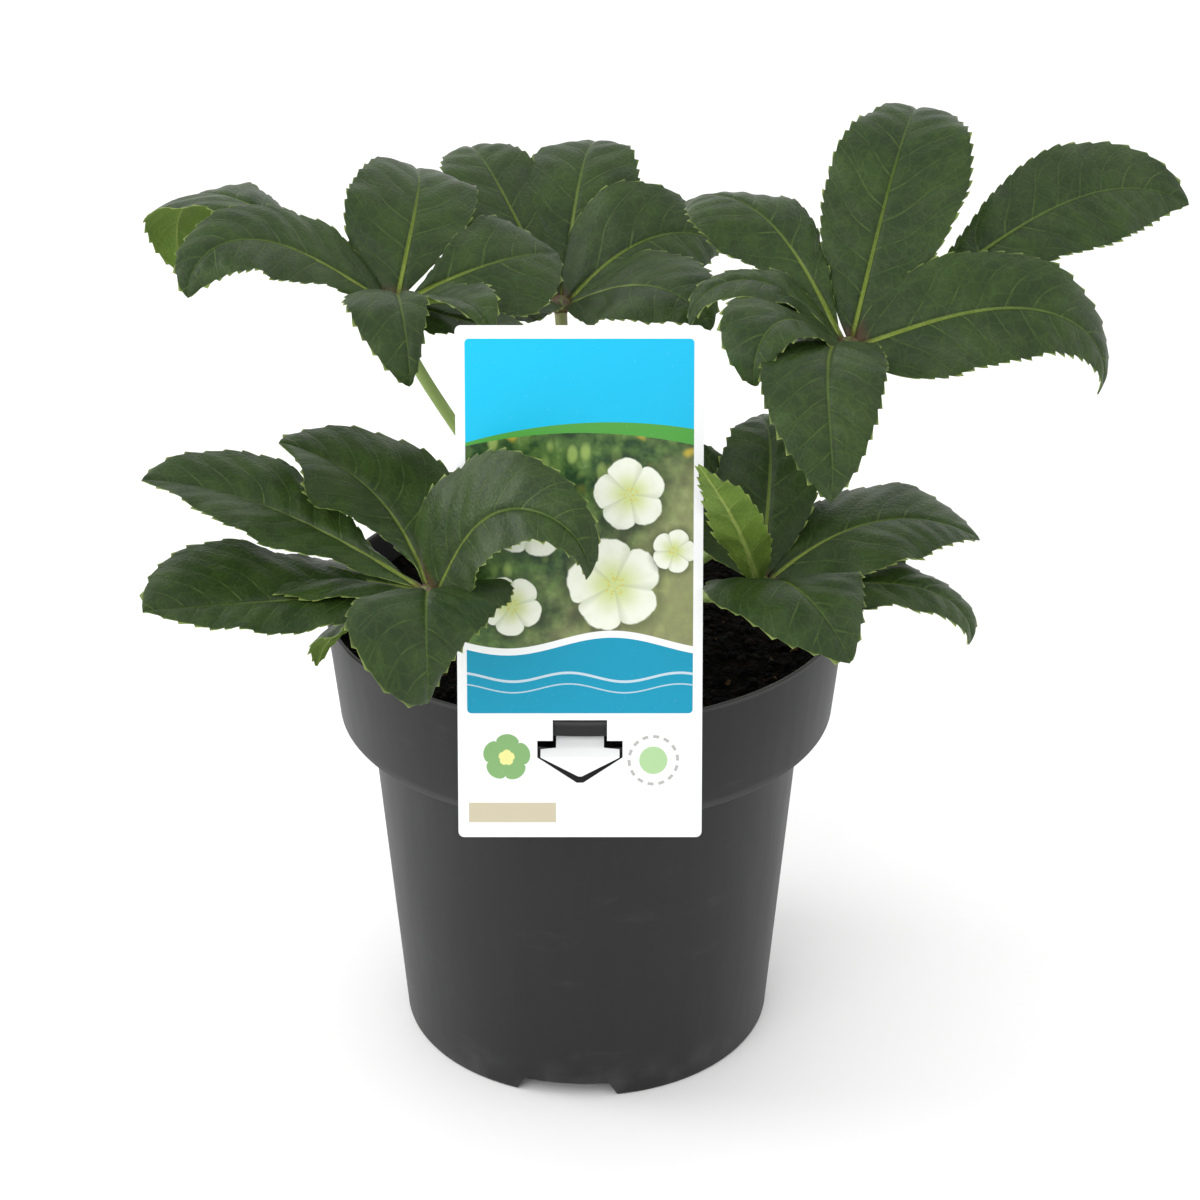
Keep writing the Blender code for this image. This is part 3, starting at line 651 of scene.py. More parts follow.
def stalk_material(settings):
    paint = Paint("leaf_stalk")
    share, turn, rise = paint.split(paint.attribute("stalk"))
    streak_place = paint.node("ShaderNodeCombineXYZ", {},
                              {"X": turn * 5.0, "Y": rise * 0.02, "Z": share})
    streaks = paint.noise(streak_place, 1.6, 4.0)
    speckle = paint.cells(paint.object_place(), 1400.0)
    flush = paint.fade(share, 0.72, 0.99) * paint.fade(streaks, 0.3, 0.6)
    tone = paint.layers(
        settings.foot,
        (paint.fade(share, 0.12, 0.35), settings.green),
        (flush * 0.85, settings.flush),
        (paint.fade(streaks, 0.35, 0.7) * 0.4, (0.34, 0.46, 0.17)),
        ((speckle < 0.16) * 0.35, settings.flush))
    return paint.finish({
        "Base Color": tone,
        "Roughness": 0.38 + streaks * 0.2,
        "Normal": paint.bump(streaks, 0.0004, 0.7),
    })


def compost_material(settings):
    paint = Paint("compost_surface")
    place = paint.object_place()
    coarse = paint.noise(place, 120.0, 5.0, 0.65)
    fibres = paint.noise(paint.scaled(place, (1.0, 0.35, 1.0)), 900.0, 4.0, 0.7)
    crumbs = paint.cells(place, 520.0)
    fleck = (paint.cells(place, 190.0) < 0.10) * paint.fade(coarse, 0.5, 0.55)
    tone = paint.layers(
        settings.dark,
        (paint.fade(coarse, 0.45, 0.75), settings.brown),
        (paint.fade(fibres, 0.58, 0.75) * 0.5, settings.brown),
        (fleck * 0.55, settings.chip))
    return paint.finish({
        "Base Color": tone,
        "Roughness": 0.82 + fibres * 0.15,
        "Specular IOR Level": 0.05,
        "Normal": paint.bump(fibres * 0.7 + crumbs, 0.0012, 0.9),
    })


def crumb_material(settings):
    paint = Paint("compost_crumb")
    shade, chip, _ = paint.split(paint.attribute("crumb"))
    place = paint.object_place()
    grain = paint.noise(place, 1500.0, 4.0, 0.7)
    tone = paint.mix(paint.fade(shade, 0.3, 1.0), settings.dark, settings.brown)
    bark = paint.mix(paint.fade(grain, 0.35, 0.7), settings.brown, settings.chip)
    tone = paint.mix(chip, tone, bark)
    return paint.finish({
        "Base Color": tone,
        "Roughness": 0.80 + grain * 0.2,
        "Specular IOR Level": 0.08,
        "Normal": paint.bump(grain, 0.0006, 0.8),
    })


def pot_material(settings):
    paint = Paint("pot_plastic")
    place = paint.object_place()
    _, _, height = paint.split(place)
    mould = paint.noise(place, 55.0, 4.0, 0.6)
    flow = paint.noise(paint.scaled(place, (1.0, 1.0, 0.12)), 160.0, 3.0)
    grain = paint.noise(place, 2600.0, 2.0)
    smear = paint.noise(paint.scaled(place, (1.0, 1.0, 3.0)), 26.0, 5.0, 0.7)
    specks = paint.cells(place, 240.0)
    near_ground = 1.0 - paint.fade(height, 0.002, 0.022)
    step = COLLAR_STEP * MM
    # Painted highlights: a light line just above the collar's step and another round the top of the
    # rim
    collar_highlight = 1.0 - paint.fade(abs(height - (step + 0.0012)), 0.0006, 0.0026)
    rim_highlight = paint.fade(height, POT_HEIGHT * MM - 0.0022, POT_HEIGHT * MM - 0.0006)
    edge_highlights = paint.math("MAXIMUM", collar_highlight * 0.35, rim_highlight * 0.4)
    scuff = paint.fade(smear, 0.55, 0.78) * 0.22 + near_ground * paint.fade(mould, 0.4, 0.7) * 0.4
    dusty = (specks < 0.05) * paint.fade(mould, 0.5, 0.62) * 0.5
    # Real scuffs and dust, together with the painted highlights
    dirt_and_highlights = paint.math("MAXIMUM", edge_highlights, scuff)
    dirt_and_highlights = paint.math("MAXIMUM", dirt_and_highlights, dusty)
    tone = paint.layers(
        settings.plastic,
        (paint.fade(flow, 0.3, 0.7) * 0.25, (0.008, 0.008, 0.009)),
        (dirt_and_highlights, settings.dust_and_highlight))
    return paint.finish({
        "Base Color": tone,
        "Roughness": 0.44 + flow * 0.08 + dirt_and_highlights * 0.2,
        "Specular IOR Level": 0.3,
        "Normal": paint.bump(grain * 0.3 + flow * 0.5, 0.00025, 0.5),
    })


def printed_flower(paint, across, up, centre, radius, turn):
    """How far a point lies towards the edge of a five-petalled flower, and across its petal."""
    right = across - centre[0]
    above = up - centre[1]
    distance = (right * right + above * above) ** 0.5
    fifth = paint.math("ARCTAN2", above, right) * (2.5 / math.pi) + (turn + 5.0)
    along = paint.math("FRACT", fifth)
    bulge = paint.math("SINE", along * math.pi) ** 0.45
    return distance / (bulge * (0.24 * radius) + 0.76 * radius), along


def printed_garden(paint, settings, across, up, place):
    """A garden that is out of focus, behind five white flowers."""
    blur = paint.noise(place, 0.045, 4.0, 0.6)
    leafy = paint.noise(place, 0.17, 3.0, 0.55)
    hedge = paint.node("ShaderNodeValToRGB",
                       {"stops": [(0.30, (0.006, 0.012, 0.008)), (0.45, (0.020, 0.060, 0.018)),
                                  (0.58, (0.100, 0.190, 0.045)), (0.72, (0.330, 0.400, 0.190))]},
                       {"Fac": blur * 0.6 + leafy * 0.42})
    fronds = paint.cells(paint.scaled(place, (1.0, 0.55, 1.0)), 0.17) + leafy * 0.25
    fresh = (1.0 - paint.fade(fronds, 0.34, 0.56)) * paint.fade(
        paint.noise(place, 0.06, 1.0), 0.40, 0.62)
    sunny = paint.fade(across * 0.012 - up * 0.010 + blur * 1.2, -0.35, 0.45)
    blooms = paint.fade(paint.noise(place, 0.10, 1.0), 0.60, 0.72) * paint.fade(up, 88.0, 108.0)
    scene = paint.layers(
        hedge,
        (fresh * 0.75, (0.330, 0.460, 0.120)),
        (sunny * 0.55, (0.400, 0.380, 0.190)),
        (blooms * 0.7, (0.650, 0.480, 0.050)))
    crumple = paint.noise(place, 0.16, 2.0) * 0.16 + 0.92
    dots = paint.cells(place, 1.0) < 0.36
    for centre, radius, turn in FLOWERS:
        reach, along = printed_flower(paint, across, up, centre, radius, turn)
        reach = reach * crumple
        crease = paint.fade(along, 0.0, 0.22) * (1.0 - paint.fade(along, 0.93, 1.0))
        stamens = (1.0 - paint.fade(reach, 0.16, 0.34)) * dots
        white = paint.layers(
            settings.petal,
            (1.0 - paint.fade(reach, 0.12, 0.80), (0.560, 0.640, 0.260)),
            ((1.0 - crease) * 0.38, (0.340, 0.400, 0.220)),
            (paint.fade(leafy, 0.45, 0.75) * 0.25, (0.560, 0.600, 0.420)),
            (stamens * 0.8, (0.620, 0.500, 0.080)))
        scene = paint.layers(
            scene,
            ((1.0 - paint.fade(reach, 0.95, 1.35)) * 0.45, (0.010, 0.022, 0.008)),
            (1.0 - paint.fade(reach, 0.95, 1.0), white))
    return scene


def printed_panel(paint, settings, across, up, scene):
    """The garden under a header with a sweep, and a band with a waved top and two ripples."""
    arc = up + across * across * 0.0028 - across * 0.06
    header = paint.mix(paint.fade(across, -45.0, 45.0), settings.header, (0.004, 0.470, 0.760))
    wave = up - paint.math("SINE", across * 0.085 + 0.6) * 3.2
    ripple = up - paint.math("SINE", across * 0.16 + 2.2) * 1.6
    lines = [((abs(ripple - height) < half) * strength, settings.sheet)
             for height, half, strength in RIPPLES]
    return paint.layers(
        scene,
        (arc + across * 0.055 > SWEEP_FOOT, settings.swoosh),
        (arc > HEADER_FOOT, header),
        (wave < BAND_TOP + BAND_BORDER, settings.sheet),
        (wave < BAND_TOP, settings.band),
        *lines)


def printed_foot(paint, settings, across, up):
    """The white sheet with a small flower, a blank bar and a dashed ring round a spot."""
    badge, _ = printed_flower(paint, across, up, *BADGE, 0.3)
    (bar_across, bar_up), (bar_width, bar_height) = BAR
    bar = (abs(across - bar_across) < bar_width) * (abs(up - bar_up) < bar_height)
    (ring_across, ring_up), ring_radius = RING
    right = across - ring_across
    above = up - ring_up
    ring = (right * right + above * above) ** 0.5
    dashes = paint.math("SINE", paint.math("ARCTAN2", above, right) * RING_DASHES) > -0.2
    return paint.layers(
        settings.sheet,
        ((badge < 1.0) * 0.9, (0.150, 0.360, 0.080)),
        (badge < 0.34, (0.780, 0.760, 0.300)),
        (bar * 0.9, (0.520, 0.460, 0.310)),
        ((abs(ring - ring_radius) < RING_LINE) * dashes * 0.8, (0.330, 0.330, 0.300)),
        ((ring < RING_SPOT) * 0.75, (0.250, 0.520, 0.130)))


def label_material(settings):
    paint = Paint("label_print")
    place = paint.attribute("sheet")
    across, up, out = paint.split(place)
    scene = printed_garden(paint, settings, across, up, place)
    panel = printed_panel(paint, settings, across, up, scene)
    past_side = paint.math("MAXIMUM", abs(across) - PANEL_HALF[0], 0.0)
    past_end = paint.math("MAXIMUM", abs(up - PANEL_MIDDLE) - PANEL_HALF[1], 0.0)
    inset = (past_side * past_side + past_end * past_end) < PANEL_CORNER ** 2
    front = paint.mix(inset, printed_foot(paint, settings, across, up), panel)
    scuff = paint.fade(paint.noise(place, 0.35, 5.0, 0.7), 0.62, 0.8)
    tone = paint.layers(
        settings.sheet,
        (out > 0.0, front),
        (scuff * 0.04, (0.75, 0.75, 0.75)))
    return paint.finish({
        "Base Color": tone,
        "Roughness": 0.27 + scuff * 0.10,
        "Specular IOR Level": 0.3,
        "Normal": paint.bump(paint.noise(place, 0.05, 2.0), 0.0012, 0.25),
    })


def floor_material(settings):
    paint = Paint("studio_floor")
    place = paint.object_place()
    cloud = paint.noise(place, 3.0, 2.0)
    tone = paint.mix(paint.fade(cloud, 0.3, 0.7) * 0.3, settings.floor, (0.96, 0.96, 0.96))
    return paint.finish({"Base Color": tone, "Roughness": 0.6})


# Meshes

def add_object(name, data, place=(0.0, 0.0, 0.0)):
    made = bpy.data.objects.new(name, data)
    made.location = place
    bpy.context.scene.collection.objects.link(made)
    return made


def add_piece(name, mesh, slot, *nodes):
    """Stands a mesh on the pot's axis as a piece for these nodes."""
    piece = add_object(name, mesh, AXIS)
    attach(piece, "root")
    if nodes:
        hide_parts(*nodes)
    return piece


def finished_mesh(shape):
    """A new mesh of an object, with its modifiers or its curve worked out."""
    bpy.context.view_layer.update()
    graph = bpy.context.evaluated_depsgraph_get()
    return bpy.data.meshes.new_from_object(shape.evaluated_get(graph))


def circle(radius, height, sides):
    """Points of a level circle about the pot's axis."""
    turns = [2.0 * math.pi * side / sides for side in range(sides)]
    return [(radius * math.cos(turn), radius * math.sin(turn), height) for turn in turns]


def build_mesh(name, points, faces, materials, attributes=None, indices=None):
    """A smooth mesh in metres from points in millimetres, with vectors kept at its points."""
    mesh = bpy.data.meshes.new(name)
    mesh.from_pydata((np.asarray(points) * MM).tolist(), [], faces)
    for material in materials:
        mesh.materials.append(material)
    for attribute, values in (attributes or {}).items():
        layer = mesh.attributes.new(attribute, "FLOAT_VECTOR", "POINT")
        layer.data.foreach_set("vector", np.asarray(values, dtype=np.float32).ravel())
    if indices is not None:
        mesh.polygons.foreach_set("material_index", np.asarray(indices, dtype=np.int32))
    mesh.shade_smooth()
    return mesh


def grid_faces(rows, columns, start=0, closed=False, flip=False):
    """Quads over rows of points, and round each row where it is closed."""
    faces = []
    last = columns if closed else columns - 1
    for row in range(rows - 1):
        for column in range(last):
            after = (column + 1) % columns
            a = start + row * columns + column
            b = start + row * columns + after
            c = b + columns
            d = a + columns
            faces.append((d, c, b, a) if flip else (a, b, c, d))
    return faces


# Leaves

def midrib(leaflet, hub, shares):
    """Places, directions and right-hand sides along a midrib, and the blade's upper side."""
    def direction(share):
        turn = share ** leaflet.late
        heading = np.radians(leaflet.heading[0] + turn * (leaflet.heading[1] - leaflet.heading[0]))
        pitch = np.radians(leaflet.pitch[0] + turn * (leaflet.pitch[1] - leaflet.pitch[0]))
        level = np.zeros_like(share)
        right = np.stack([np.sin(heading), -np.cos(heading), level], 1)
        along = np.stack([np.cos(pitch) * np.cos(heading), np.cos(pitch) * np.sin(heading),
                          np.sin(pitch)], 1)
        return along, right

    _, first = direction(np.array([0.0]))
    start = np.array(hub) + np.array([-first[0, 1], first[0, 0], 0.0]) * LEAFLET_START
    middles = (np.arange(MIDRIB_STEPS) + 0.5) / MIDRIB_STEPS
    steps, _ = direction(middles)
    line = np.vstack([start, start + np.cumsum(steps * (leaflet.length / MIDRIB_STEPS), 0)])
    known = np.linspace(0.0, 1.0, MIDRIB_STEPS + 1)
    place = np.stack([np.interp(shares, known, line[:, axis]) for axis in range(3)], 1)
    along, right = direction(shares)
    roll = np.radians(leaflet.roll[0] + shares * (leaflet.roll[1] - leaflet.roll[0]))[:, None]
    right = right * np.cos(roll) + np.cross(along, right) * np.sin(roll)
    return place, along, right, np.cross(right, along)


def half_width_at(share, belly):
    skew = math.log(0.5) / math.log(belly)
    return np.sin(np.pi * np.clip(share, 0.0, 1.0) ** skew) ** TIP_SHAPE


def smooth_rise(value, low, high):
    t = np.clip((value - low) / (high - low), 0.0, 1.0)
    return t * t * (3.0 - 2.0 * t)


def toothed_half_widths(leaflet, settings, dice, shares, teeth):
    """How far points lie across and forward of the midrib, and how far a tooth stands out."""
    across, forward, beyond = (np.zeros((len(shares), len(COLUMNS))) for _ in range(3))
    count = np.arange(len(shares))
    grown = smooth_rise(shares, *TEETH_BEGIN) * (1.0 - smooth_rise(shares, *TEETH_END))
    stub = STEM_HALF_WIDTH * (1.0 - shares) + TIP_HALF_WIDTH * shares
    for side, sign in enumerate((-1.0, 1.0)):
        width = leaflet.half_width * half_width_at(shares, leaflet.belly[side])
        width = np.maximum(width * leaflet.sides[side], stub)
        place = count + 2 * side
        row = place % ROWS_PER_TOOTH
        sizes = np.array([dice.uniform(*TOOTH_SIZES) for _ in range(teeth + 2)])
        size = sizes[place // ROWS_PER_TOOTH] * grown * settings.tooth_depth / MM
        tooth = size * ((row / TIP_ROW) ** TOOTH_CURVE - TOOTH_SINK)
        chosen = COLUMNS * sign > 0.0
        across[:, chosen] = width[:, None] * COLUMNS[None, chosen]
        outer = np.where(COLUMNS == sign)[0][0]
        across[:, outer] += sign * tooth
        across[:, outer - int(sign)] += sign * tooth * TOOTH_ROOT
        beyond[:, outer] = np.maximum(tooth, 0.0)
        lean = np.where(row == TIP_ROW, TOOTH_LEAN, 0.0)
        forward[:, outer] += lean * size * leaflet.length / teeth
    return across, forward, beyond


def edge_wave(leaflet, settings, share, fullness, phases):
    """How far each point of the sheet rises or dips, most of all at the edges."""
    spread = np.abs(COLUMNS)
    wave = np.zeros_like(share)
    for side, sign in enumerate((-1.0, 1.0)):
        run = 2.0 * np.pi * share * leaflet.length
        swing = np.sin(run / LONG_WAVE + phases[side])
        swing += SHORT_WAVE_SHARE * np.sin(run / SHORT_WAVE + phases[side + 2])
        wave += np.where(COLUMNS * sign > 0.0, swing, 0.0)
    wave *= settings.wave / MM * spread ** WAVE_HUG * fullness * WAVE_SHARE
    ripple = np.sin(share * leaflet.length / RIPPLE_RUN + COLUMNS * 2.0 + phases[7])
    return wave + RIPPLE_HEIGHT * spread * fullness * ripple


def side_vein_count(leaflet, settings, share, reach, phases):
    """A number that grows by one from each side vein to the next, in turn left and right."""
    distance = share * leaflet.length
    behind = VEIN_SLANT * reach + VEIN_CURVE * reach ** 2
    count = (distance - behind) / (settings.vein_spacing / MM) * (1.0 + VEIN_CROWDING * share)
    count += np.where(COLUMNS > 0.0, 0.5, 0.0) + phases[4]
    stray, stray_run = VEIN_STRAY
    wiggle, wiggle_out, wiggle_run = VEIN_WIGGLE
    count += stray * np.sin(distance / stray_run + phases[5])
    return count + wiggle * np.sin(reach / wiggle_out + distance / wiggle_run + phases[6])


def leaflet_surface(leaf, leaflet, settings, dice):
    """Points, faces and vectors of one closed blade, its upper face first."""
    teeth = round(leaflet.length / (settings.tooth_spacing / MM))
    rows, width = teeth * ROWS_PER_TOOTH + 1, len(COLUMNS)
    shares = np.arange(rows) / (rows - 1)
    share = shares[:, None] * np.ones((1, width))
    spread = np.abs(COLUMNS)[None, :] * np.ones((rows, 1))
    fullness = np.sin(np.pi * np.clip(share, 0.0, 1.0)) ** 0.5
    phases = [dice.uniform(0.0, 2.0 * math.pi) for _ in range(8)]

    # Folded and waved sheet
    place, along, right, upper = midrib(leaflet, leaf.hub, shares)
    across, forward, beyond = toothed_half_widths(leaflet, settings, dice, shares, teeth)
    reach = np.abs(across)
    lift = np.radians(leaflet.fold - MARGIN_DROP * spread)
    rise = reach * np.sin(lift) + edge_wave(leaflet, settings, share, fullness, phases)
    points = (place[:, None, :] + right[:, None, :] * (across * np.cos(lift))[:, :, None]
              + upper[:, None, :] * rise[:, :, None] + along[:, None, :] * forward[:, :, None])
    normal = np.cross(np.gradient(points, axis=1), np.gradient(points, axis=0))
    size = np.linalg.norm(normal, axis=2, keepdims=True)
    normal = np.where(size > 1e-9, normal / np.maximum(size, 1e-9), upper[:, None, :])

    # Upper and lower face, swollen between the side veins
    side_vein = side_vein_count(leaflet, settings, share, reach, phases)
    between = np.sin(np.pi * (side_vein % 1.0 - 0.5)) ** 2
    swell = between * 4.0 * spread * (1.0 - spread) * fullness * settings.quilting / MM
    groove = settings.groove / MM * np.exp(-(across / GROOVE_WIDTH) ** 2)
    groove *= 1.0 - GROOVE_FADE * share
    height, middle, breadth = SHOULDER
    shoulder = height * np.exp(-((reach - middle) / breadth) ** 2) * (1.0 - SHOULDER_FADE * share)
    half = settings.thickness / MM / 2.0 * (1.0 - EDGE_THINNING * spread ** 3)
    keel = settings.keel / MM * np.exp(-(across / KEEL_WIDTH) ** 2) * (1.0 - KEEL_FADE * share)
    ribs = RIB_HEIGHT * (1.0 - between) ** 4 * (1.0 - spread) * fullness
    top = points + normal * (half + swell + shoulder - groove)[:, :, None]
    bottom = points - normal * (half + keel + ribs - UNDER_SWELL * swell)[:, :, None]

    # What the material reads at each point
    half_width = leaflet.half_width * np.maximum(half_width_at(share, 0.5), 0.08)
    edge = (1.0 - spread) * half_width - beyond
    shift = dice.uniform(0.0, PATTERN_REACH)
    vein = np.stack([side_vein, across, spread], 2)
    skewed = np.full_like(share, shift * PATTERN_SKEW)
    spot = np.stack([share * leaflet.length + shift, across, skewed], 2)
    edges = [np.stack([edge, share, np.full_like(share, face)], 2) for face in (0.0, 1.0)]
    vectors = {"vein": np.concatenate([vein, vein]).reshape(-1, 3),
               "place": np.concatenate([spot, spot]).reshape(-1, 3),
               "edge": np.concatenate(edges).reshape(-1, 3)}

    under = rows * width
    faces = grid_faces(rows, width) + grid_faces(rows, width, under, flip=True)
    for row in range(rows - 1):
        left = row * width
        faces.append((left, left + width, under + left + width, under + left))
        end = left + width - 1
        faces.append((end, under + end, under + end + width, end + width))
    for column in range(width - 1):
        faces.append((column + 1, column, under + column, under + column + 1))
    return np.concatenate([top.reshape(-1, 3), bottom.reshape(-1, 3)]), faces, vectors


def knuckle_surface(leaf, dice):
    """A lumpy flattened ball where the leaflets meet, with a swelling towards each of them."""
    headings = [math.radians(leaflet.heading[0]) for leaflet in leaf.leaflets]
    hub = Vector(leaf.hub)
    points = []
    for ring in range(KNUCKLE_RINGS + 1):
        fall = math.pi * ring / KNUCKLE_RINGS
        for side in range(KNUCKLE_SIDES):
            turn = 2.0 * math.pi * side / KNUCKLE_SIDES
            towards = max(math.cos(turn - heading) for heading in headings)
            swell = 1.0 + KNUCKLE_SWELL * max(0.0, towards) ** KNUCKLE_BULGE * math.sin(fall)
            ripple = 1.0 + KNUCKLE_RIPPLE * math.sin(5.0 * fall + dice.uniform(-0.2, 0.2))
            radius = HUB_RADIUS * KNUCKLE_SHARE * swell * ripple
            out = radius * math.sin(fall)
            points.append(hub + Vector((out * math.cos(turn), out * math.sin(turn),
                                        radius * HUB_FLATNESS * math.cos(fall))))
    return points, grid_faces(KNUCKLE_RINGS + 1, KNUCKLE_SIDES, closed=True, flip=True)


def make_leaf(leaf, settings, blade, knuckle, seed):
    dice = random.Random(seed)
    surfaces = [leaflet_surface(leaf, leaflet, settings, dice) for leaflet in leaf.leaflets]
    ball, quads = knuckle_surface(leaf, dice)
    blank = np.zeros((len(ball), 3))
    surfaces.append((np.array(ball), quads, {"vein": blank, "place": blank, "edge": blank}))
    faces, indices = [], []
    total = 0
    for number, (surface, quads, _) in enumerate(surfaces):
        faces += [tuple(corner + total for corner in quad) for quad in quads]
        indices += [int(number == len(leaf.leaflets))] * len(quads)
        total += len(surface)
    vectors = {name: np.concatenate([values[name] for _, _, values in surfaces])
               for name in ("vein", "place", "edge")}
    points = np.concatenate([surface for surface, _, _ in surfaces])
    mesh = build_mesh(f"{leaf.name}_leaflets", points, faces, [blade, knuckle], vectors, indices)
    mesh.set_sharp_from_angle(angle=BLADE_SHARP)
    add_piece(mesh.name, mesh, "leaf", f"{leaf.name}_blades")


# Stalks

def stalk_line(leaf, count):
    """Points from below the soil up to the hub, and the direction of arrival there."""
    hub, low_bow, high_bow = Vector(leaf.hub), Vector(leaf.low_bow), Vector(leaf.high_bow)
    x, y, _ = leaf.crown
    start = Vector((x, y, SOIL_TOP + PLUG_RISE + STALK_STRAIGHT))
    points = [Vector((x, y, SOIL_TOP - STALK_DEPTH))]
    for index in range(count):
        t = index / (count - 1)
        points.append(start * (1 - t) ** 3 + low_bow * (3 * t * (1 - t) ** 2)
                      + high_bow * (3 * t * t * (1 - t)) + hub * t ** 3)
    return points, (hub - high_bow).normalized()


def make_stalk(leaf, settings, material):
    """A grooved stalk that thickens at its foot and below the knuckle."""
    line, arrival = stalk_line(leaf, settings.rings)
    foot_swell, foot_run = STALK_FOOT_SWELL
    top_swell, top_run = STALK_TOP_SWELL
    last = len(line) - 1
    outward = Vector((leaf.hub[0] - leaf.crown[0], leaf.hub[1] - leaf.crown[1], 0.0)).normalized()
    points, values = [], []
    run = 0.0
    for index, place in enumerate(line):
        before, after = line[max(0, index - 1)], line[min(last, index + 1)]
        along = arrival if index == last else (after - before).normalized()
        run += (place - before).length
        share = index / last
        side = along.cross(outward).normalized()
        front = side.cross(along).normalized()
        radius = STALK_RADIUS * (STALK_WAIST + foot_swell * math.exp(-share / foot_run)
                                 + top_swell * math.exp(-(1.0 - share) / top_run))
        for point in range(settings.sides):
            turn = 2.0 * math.pi * point / settings.sides
            dip = settings.groove * math.exp(-((turn - math.pi) / STALK_GROOVE_WIDTH) ** 2)
            reach = radius * (1.0 - dip + STALK_RIDGES * math.cos(5.0 * turn))
            points.append(place - front * (reach * math.cos(turn))
                          + side * (reach * math.sin(turn)))
            values.append((share, abs(turn - math.pi), run))
    faces = grid_faces(len(line), settings.sides, closed=True)
    mesh = build_mesh(f"{leaf.name}_petiole", points, faces, [material], {"stalk": values})
    add_piece(mesh.name, mesh, "stalk", f"{leaf.name}_stalk")


# Compost

def soil_height(radius):
    """The level of the compost's top: a raised plug with a soft edge, then level to the wall."""
    return SOIL_TOP + float(np.interp(radius, *zip(*SOIL_LEVELS)))


def soil_relief(x, y, lumps):
    """How far the compost's top rises or dips at a place."""
    coarse_run, coarse_share = COARSE_LUMPS
    fine_run, fine_share = FINE_LUMPS
    coarse = noise.fractal(Vector((x / coarse_run, y / coarse_run, 3.0)), 1.0, 2.0, 3)
    fine = noise.fractal(Vector((x / fine_run, y / fine_run, 11.0)), 0.8, 2.1, 3)
    return lumps * (coarse_share * coarse + fine_share * fine)


def make_compost(settings, material):
    """The whole body of compost, with a lumpy top."""
    inset = WALL + SOIL_GAP
    outside = outer_radius(SOIL_TOP) - inset
    inner_shoulder, outer_shoulder = SOIL_SHOULDER
    points = []
    for ring in range(1, SOIL_RINGS + 1):
        radius = outside * (ring / SOIL_RINGS) ** SOIL_RING_SPACING
        for x, y, level in circle(radius, soil_height(radius), SOIL_SIDES):
            points.append((x, y, level + soil_relief(x, y, settings.lumps / MM)))
    below = [(outside, SOIL_TOP - SOIL_EDGE_DEPTH),
             (outer_radius(COLLAR_STEP) - inset, COLLAR_STEP + outer_shoulder),
             (BODY_TOP_RADIUS - inset, COLLAR_STEP + inner_shoulder),
             (outer_radius(SOIL_BOTTOM) - inset, SOIL_BOTTOM),
             (SOIL_BOTTOM_RING, SOIL_BOTTOM), (1.0, SOIL_BOTTOM)]
    for radius, height in below:
        points += circle(radius, height, SOIL_SIDES)
    faces = grid_faces(SOIL_RINGS + len(below), SOIL_SIDES, closed=True, flip=True)
    faces += [(len(points), side, (side + 1) % SOIL_SIDES) for side in range(SOIL_SIDES)]
    points.append((0.0, 0.0, SOIL_TOP + PLUG_RISE))
    add_piece("compost", build_mesh("compost", points, faces, [material]), "compost", "soil")


def make_crumbs(settings, material):
    """Loose crumbs and bark chips, half sunk in the top of the compost."""
    dice = random.Random(7)
    ball = bmesh.new()
    bmesh.ops.create_icosphere(ball, subdivisions=1, radius=1.0)
    shape = [vert.co.copy() for vert in ball.verts]
    corners = [tuple(vert.index for vert in face.verts) for face in ball.faces]
    ball.free()
    points, faces, values = [], [], []
    for index in range(settings.crumbs + settings.chips):
        chip = index >= settings.crumbs
        radius = CRUMB_CIRCLE * math.sqrt(dice.random())
        turn = dice.uniform(0.0, 2.0 * math.pi)
        size = dice.uniform(0.5, 1.0) ** 2
        scale = (CHIP_SHAPE if chip else CRUMB_SHAPE) * (CRUMB_SMALLEST + size)
        tilt = (Matrix.Rotation(dice.uniform(0, 2 * math.pi), 3, "Z")
                @ Matrix.Rotation(dice.uniform(-CRUMB_TILT, CRUMB_TILT), 3, "X"))
        x, y = radius * math.cos(turn), radius * math.sin(turn)
        level = soil_height(radius) + soil_relief(x, y, settings.lumps / MM)
        centre = Vector((x, y, level + CRUMB_LIFT * scale.z))
        start = len(points)
        shade = dice.random()
        for corner in shape:
            rough = 1.0 + dice.uniform(-CRUMB_ROUGHNESS, CRUMB_ROUGHNESS)
            local = Vector(corner[axis] * scale[axis] * rough for axis in range(3))
            points.append(tuple(centre + tilt @ local))
            values.append((shade, float(chip), 0.0))
        faces += [tuple(start + corner for corner in face) for face in corners]
    mesh = build_mesh("compost_crumbs", points, faces, [material], {"crumb": values})
    mesh.shade_flat()
    add_piece("compost_crumbs", mesh, "compost")


# Pot

def outer_radius(height):
    """The body's outer radius below the collar, or the collar's above its step."""
    if height < COLLAR_STEP:
        return BASE_RADIUS + (BODY_TOP_RADIUS - BASE_RADIUS) * height / COLLAR_STEP
    share = (height - COLLAR_STEP) / COLLAR_HEIGHT
    return COLLAR_FOOT_RADIUS + (RIM_RADIUS - COLLAR_FOOT_RADIUS) * share


def rounded_profile(corners, steps=4):
    """Corners as (radius, height, rounding) turned into points with rounded corners."""
    points = []
    for index, (radius, height, rounding) in enumerate(corners):
        here = Vector((radius, height))
        if rounding == 0.0:
            points.append(here)
            continue
        before = Vector(corners[index - 1][:2]) - here
        after = Vector(corners[index + 1][:2]) - here
        start = here + before.normalized() * min(rounding, before.length * ROUNDING_LIMIT)
        end = here + after.normalized() * min(rounding, after.length * ROUNDING_LIMIT)
        for step in range(steps + 1):
            t = step / steps
            points.append(start * (1 - t) ** 2 + here * (2 * t * (1 - t)) + end * t ** 2)
    return points


